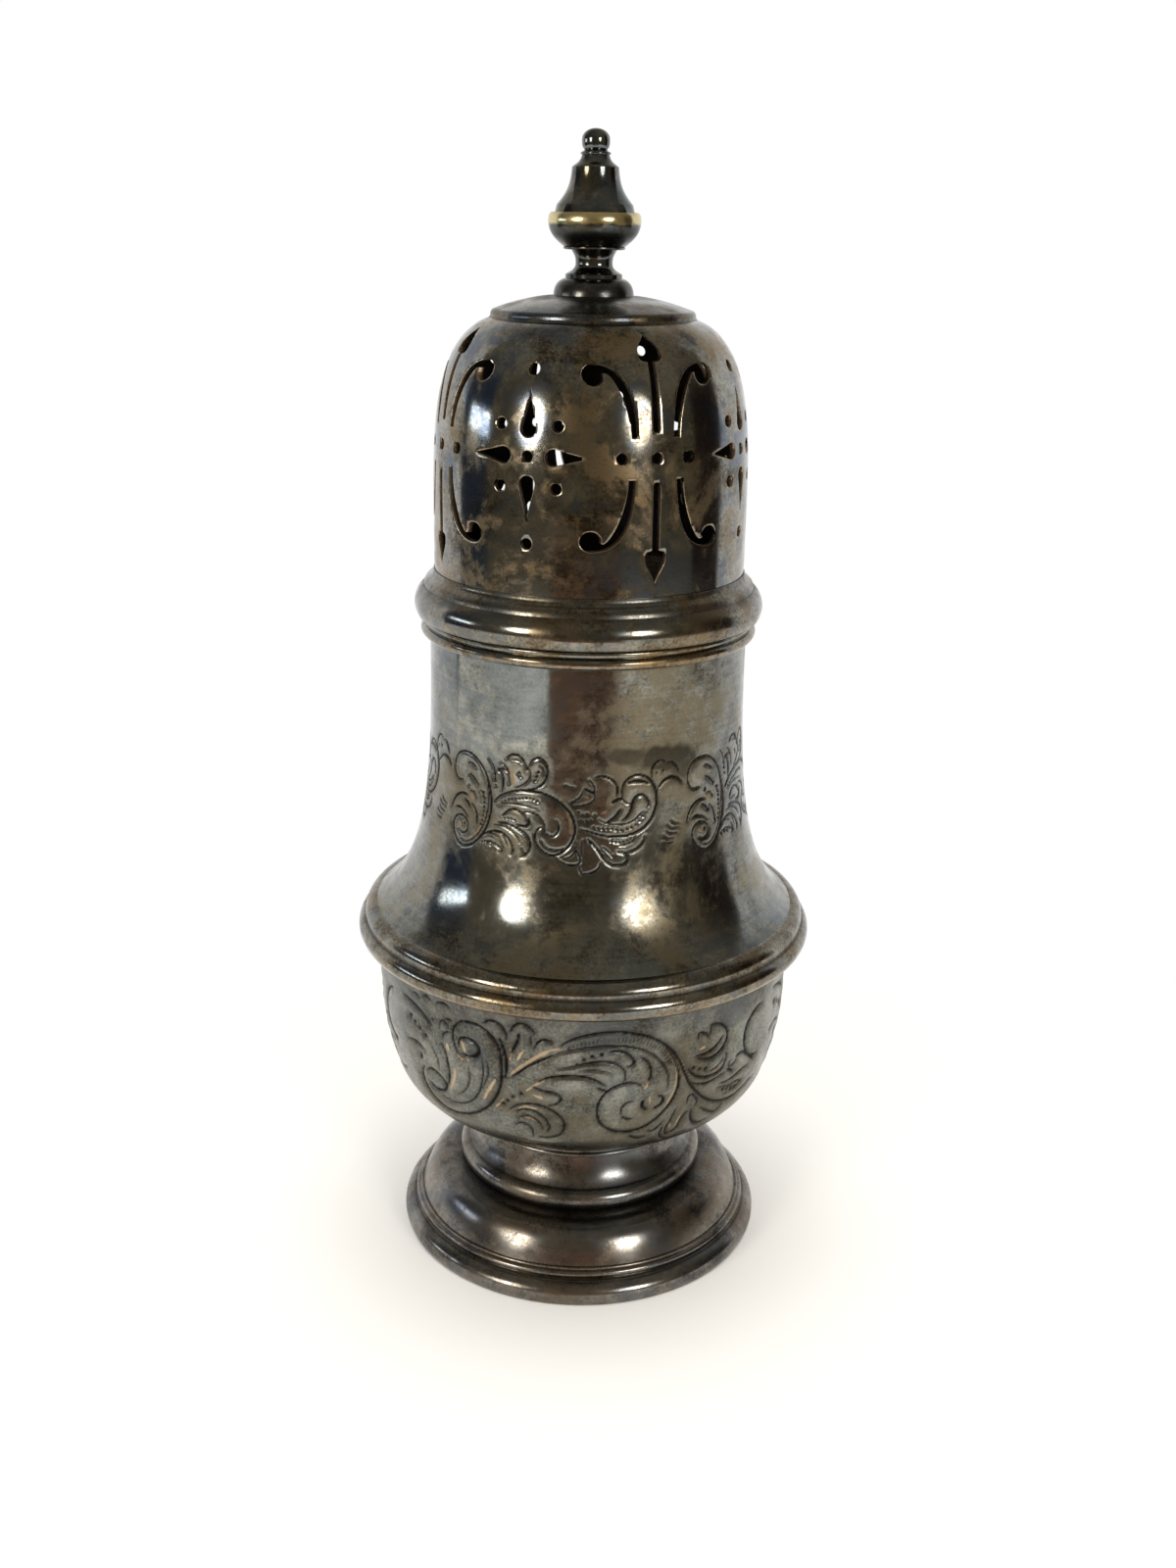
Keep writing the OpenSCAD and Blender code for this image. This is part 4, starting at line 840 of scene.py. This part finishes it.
mouthWire = {"name": "mouthWire", "node": "mouth_wire", "body": "body", "finish": "worn_plate",
             "rise": 0.5, "inside": 23.5, "joint": 24.45,
             "worn": [(25.8, 103.45, 0.7, 0.42), (25.4, 104.9, 0.5, 0.3)],
             # its stained place is painted shade: the top of the wire is painted black in the gap under the
             # cover
             "stained": [(24.4, 105.3, 0.7, 0.9)]}
lip, inside, joint = mouth + mouthWire["rise"], mouthWire["inside"], mouthWire["joint"]
place(mouthWire, turned(mouthWire, [(joint, mouth - 2.3)] + arc((24.88, mouth - 1.38), 0.92, -90, 70, 16)
                        + arc((24.95, lip - 0.45), 0.45, -20, 90, 8)
                        + [(inside, lip), (inside, mouth), (joint, mouth)]))

# Cover
bezel = {"name": "coverBezel", "node": "cover_bezel", "body": "bezel", "finish": "inner_metal",
         "cover": 105.647, "gap": 0.08, "collar": 5, "plug": 12}
sleeve, collarTop = bezel["cover"] - bezel["gap"], bezel["cover"] + bezel["collar"]
plugEnd = mouth - bezel["plug"]
place(bezel, turned(bezel, [(23.44, plugEnd), (23.44, sleeve), (22.72, sleeve), (22.72, collarTop),
                            (21.92, collarTop), (21.92, sleeve - 1.6), (22.64, sleeve - 2.4),
                            (22.64, plugEnd)]))

coverMoulding = {"name": "coverMoulding", "node": "cover_moulding", "body": "cover", "finish": "worn_plate",
                 "base": 105.647, "top": 6.9, "ledge": 0.6, "inside": 22.8, "rebate": 23.65,
                 "worn": [(26.3, 106.2, 0.9, 0.3), (24.9, 110.4, 0.5, 0.2)],
                 # the last stained place is painted shade: the bead's underside is painted black over the gap
                 # to the mouth wire
                 "stained": [(25.2, 110.0, 1.3, 0.5), (23.8, 112.5, 0.9, 0.5), (25.6, 105.7, 0.8, 0.9)]}
base, inside, rebate = (coverMoulding[k] for k in ("base", "inside", "rebate"))
top, ledge = base + coverMoulding["top"], base + coverMoulding["ledge"]
place(coverMoulding, turned(coverMoulding, [(inside, base)] + arc((23.27, base + 1.72), 3.43, -30, 52, 26)
                            + curve((25.3, base + 4.4), 100, (23.75, top), 90, (0.6, 0.5), 20)
                            + [(rebate, top), (rebate, ledge), (inside, ledge)]))

dome = {"name": "piercedDome", "node": "pierced_dome", "body": "cover", "finish": "dome_plate",
        "base": 106.247, "spring": 123.95, "crown": 149.247, "radius": 23.6, "crownRadius": 14.9,
        "bore": 1.55, "wall": 0.8, "row": 0.9, "steps": 240,
        "motifHeight": 25.6, "motifAngle": -22, "motifs": 4, "hole": 1.6, "slot": 1.0,
        "sawFrom": 8, "sawLength": 24, "rim": 0.16, "rimReach": 0.06, "rimWeld": 0.07, "paintedShadeReach": 0.45}


# Sawn shapes, in millimetres from the middle of their motif
def dropShape(length, width):
    r = width / 2
    side = math.degrees(math.asin(r / (length - r)))
    return arc((0, r), r, 180 - side, 360 + side, 14) + [(0, length)]


def arrowShape(start, tip, width, height):
    half, barb = dome["slot"] / 2, tip - height
    side = arc((0, start), half, -60, 0, 4) + [(half, barb)]
    side += arc((width * 0.28, barb + width * 0.24), width * 0.22, -60, 20, 7)
    side += curve((width * 0.48, barb + width * 0.42), 100, (0, tip), 112, (0.3, 0.35), 10)
    return side + [(-x, y) for x, y in side[::-1] if x > 0.01]


def scrollShape(top, fall, reach, r=1.4, half=0.45):
    bulb = (top[0] + reach, top[1] - fall)
    below, beside = arc(bulb, r, -100, 190, 1)
    outer = curve((top[0] - half, top[1]), -88, below, -2, (0.45, 0.4), 14)
    inner = curve(beside, 225, (top[0] + half, top[1]), 92, (0.12, 0.5), 14)
    return outer + arc(bulb, r, -75, 170, 16) + inner


def moved(shape, x=0, y=0, turn=0, flipX=1, flipY=1):
    c, s = math.cos(math.radians(turn)), math.sin(math.radians(turn))
    return [(flipX * (c * u - s * v) + x, flipY * (s * u + c * v) + y) for u, v in shape]


hole = arc((0, 0), dome["hole"] / 2, 0, 337.5, 15)
petal = [(u, v + 2.6) for u, v in dropShape(5.7, 2.3)]
crossMotif = [hole, moved(hole, 0, -12), moved(hole, 0, 11.5)]
crossMotif += [moved(hole, x, y) for x in (-4.2, 4.2) for y in (-4.2, 4.2)]
crossMotif += [moved(petal, turn=a) for a in (0, 90, 180, 270)]
fleurMotif = [hole, moved(hole, 5), moved(hole, -5), arrowShape(3.9, 16.3, 3.4, 3.7)]
fleurMotif += [moved(arrowShape(3.7, 17, 3.1, 4.3), flipY=-1)]
for flip in (1, -1):
    fleurMotif += [moved(scrollShape((3.6, -2.9), 8.4, 5.5), flipX=flip),
                   moved(scrollShape((3.1, -2.8), 8.1, 5.1), flipX=flip, flipY=-1)]

sawn = bmesh.new()
motifMiddle = dome["base"] + dome["motifHeight"]
for i in range(2 * dome["motifs"]):
    turn = Matrix.Rotation(math.radians(dome["motifAngle"] + i * 180 / dome["motifs"]), 3, "Z")
    for shape in (fleurMotif if i % 2 else crossMotif):
        corners = [Vector((u * mm, -dome["sawFrom"] * mm, (motifMiddle + v) * mm))
                   for u, v in distinct(shape)]
        face = sawn.faces.new([sawn.verts.new(turn @ corner) for corner in corners])
        out = bmesh.ops.extrude_face_region(sawn, geom=[face])["geom"]
        bmesh.ops.translate(sawn, vec=turn @ Vector((0, -dome["sawLength"] * mm, 0)),
                            verts=[g for g in out if isinstance(g, bmesh.types.BMVert)])
bmesh.ops.recalc_face_normals(sawn, faces=sawn.faces)
sawnMesh = bpy.data.meshes.new("sawnShapes")
sawn.to_mesh(sawnMesh)
sawn.free()
sawnMesh.materials.append(materials["sawn_edge"])
sawnShapes = bpy.data.objects.new("sawnShapes", sawnMesh)
bpy.context.scene.collection.objects.link(sawnShapes)

spring, crown, radius, bore = (dome[k] for k in ("spring", "crown", "radius", "bore"))
ceiling = crown - dome["wall"]
domeCurve = distinct(evenly([(radius, dome["base"]), (radius, spring)], dome["row"])
                     + curve((radius, spring), 90, (dome["crownRadius"], crown), 162, (0.52, 0.28), 44))
domeInner = innerWall(domeCurve[::3] + domeCurve[-1:], dome["wall"], dome["base"], ceiling)
domeMesh = turned(dome, domeCurve + [(10.0, crown), (bore, crown), (bore, ceiling)] + domeInner)
domeMesh.materials.append(materials[dome["finish"]])
blank = bpy.data.objects.new("domeBlank", domeMesh)
bpy.context.scene.collection.objects.link(blank)
sawing = blank.modifiers.new("sawing", "BOOLEAN")
sawing.operation = "DIFFERENCE"
sawing.solver = "EXACT"
sawing.object = sawnShapes
sawing.material_mode = "TRANSFER"
bpy.context.view_layer.update()
piercedMesh = bpy.data.meshes.new_from_object(blank.evaluated_get(bpy.context.evaluated_depsgraph_get()))
piercedMesh.name = dome["name"]
for spare in (blank, sawnShapes):
    bpy.data.objects.remove(spare)

# the outer rim of each cut is broken by a narrow bright bevel
rims = bmesh.new()
rims.from_mesh(piercedMesh)
wallHeights, wallRadii = zip(*[(z, r) for r, z in domeCurve])


def onRim(edge):
    if {face.material_index for face in edge.link_faces} != {0, 1}:
        return False
    for v in edge.verts:
        wallRadius = np.interp(v.co.z / mm, wallHeights, wallRadii)
        if abs(math.hypot(v.co.x, v.co.y) / mm - wallRadius) >= dome["rimReach"]:
            return False
    return True


# in a fixed order, so that each run welds alike
rimVerts = sorted({v for edge in rims.edges if onRim(edge) for v in edge.verts}, key=lambda v: v.co[:])
bmesh.ops.remove_doubles(rims, verts=rimVerts, dist=dome["rimWeld"] * mm)
rim = [edge for edge in rims.edges if onRim(edge)]
bevelled = bmesh.ops.bevel(rims, geom=rim, offset=dome["rim"] * mm, offset_type="OFFSET", segments=2,
                           profile=0.5, affect="EDGES", material=-1, loop_slide=False)
for face in bevelled["faces"]:
    face.material_index = 1
rims.to_mesh(piercedMesh)
rims.free()
# painted shade: the inside of the dome and the inner part of the cuts are painted dark
dome["stained"] = [(r, z, dome["paintedShadeReach"], 1.0) for r, z in evenly(domeInner, 0.3)]
addMarks(piercedMesh, dome)
place(dome, piercedMesh)
print("dome pierced")

crownPlate = {"name": "crownPlate", "node": "crown_plate", "body": "cover", "finish": "dome_plate",
              "base": 149.247, "top": 152.347, "worn": [(15.0, 149.9, 0.5, 0.2)],
              "stained": [(6.4, 152.3, 4.0, 0.72), (12.5, 151.0, 4.0, 0.28), (14.9, 149.9, 1.1, 0.42),
                          (15.2, 149.2, 0.4, 0.5)]}
base, top = crownPlate["base"], crownPlate["top"]
plateEdge = arc((15.72, base + 0.42), 0.72, 262, 180, 10) + arc((14.25, base + 0.42), 0.75, 0, 66, 12)
plateTop = curve((14.5, base + 1.13), 160, (5.9, top), 176, (0.25, 0.4), 26) + [(bore, top)]
plateBase = [(bore, base), (14.9, base), (15.75, base - 0.34)]
place(crownPlate, turned(crownPlate, plateBase + plateEdge + plateTop))

finial = {"name": "turnedFinial", "node": "finial", "body": "cover", "finish": "blackened_plate",
          "base": 152.347, "ring": 2.4, "cup": 6.8, "bell": 11.4, "knob": 18.6, "boreDepth": 8, "steps": 120,
          "worn": [(7.0, 163.1, 1.3, 0.9)], "stained": [(5.6, 153.2, 2.0, 0.45), (6.1, 160.7, 1.6, 0.8)]}
base = finial["base"]
ring, cup, bell, knob, boreEnd = (base + finial[k] for k in ("ring", "cup", "bell", "knob", "boreDepth"))
# button and throat, cup with its gold band, bell, knob
finialOutline = [(bore, base)] + curve((5.85, base), 92, (4.15, ring), 165) + [(4.15, ring + 0.5)]
finialOutline += curve((4.05, ring + 0.6), 150, (2.7, ring + 2.02), 90)
finialOutline += curve((2.7, ring + 2.2), 90, (3.35, cup - 0.5), 58)
finialOutline += arc((4.25, cup - 0.25), 0.25, -90, 90, 8)
finialOutline += curve((4.6, cup), 40, (6.7, cup + 3.45), 88, n=30)
finialOutline += [(6.63, cup + 4.14), (6.35, bell - 0.05), (5.75, bell), (5.5, bell + 1.0)]
finialOutline += curve((5.4, bell + 1.1), 130, (3.37, knob - 1.2), 94, (0.35, 0.48), 26)
finialOutline += curve((3.27, knob - 1.08), 142, (2.02, knob + 0.3), 104, n=12)
finialOutline += arc((1.94, knob + 0.64), 0.22, -90, 90, 8)
finialOutline += curve((1.62, knob + 1.12), 45, (2.0, knob + 2.4), 90, n=12)
finialOutline += curve((2.0, knob + 2.48), 90, (0, knob + 4), 180, (0.35, 0.44), 16)
place(finial, turned(finial, finialOutline + [(0, boreEnd), (bore, boreEnd)]))

# The stud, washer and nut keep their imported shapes
for node in ("finial_stud", "finial_washer", "finial_nut"):
    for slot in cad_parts[node].material_slots:
        slot.material = materials["inner_metal"]
print("cover assembled")
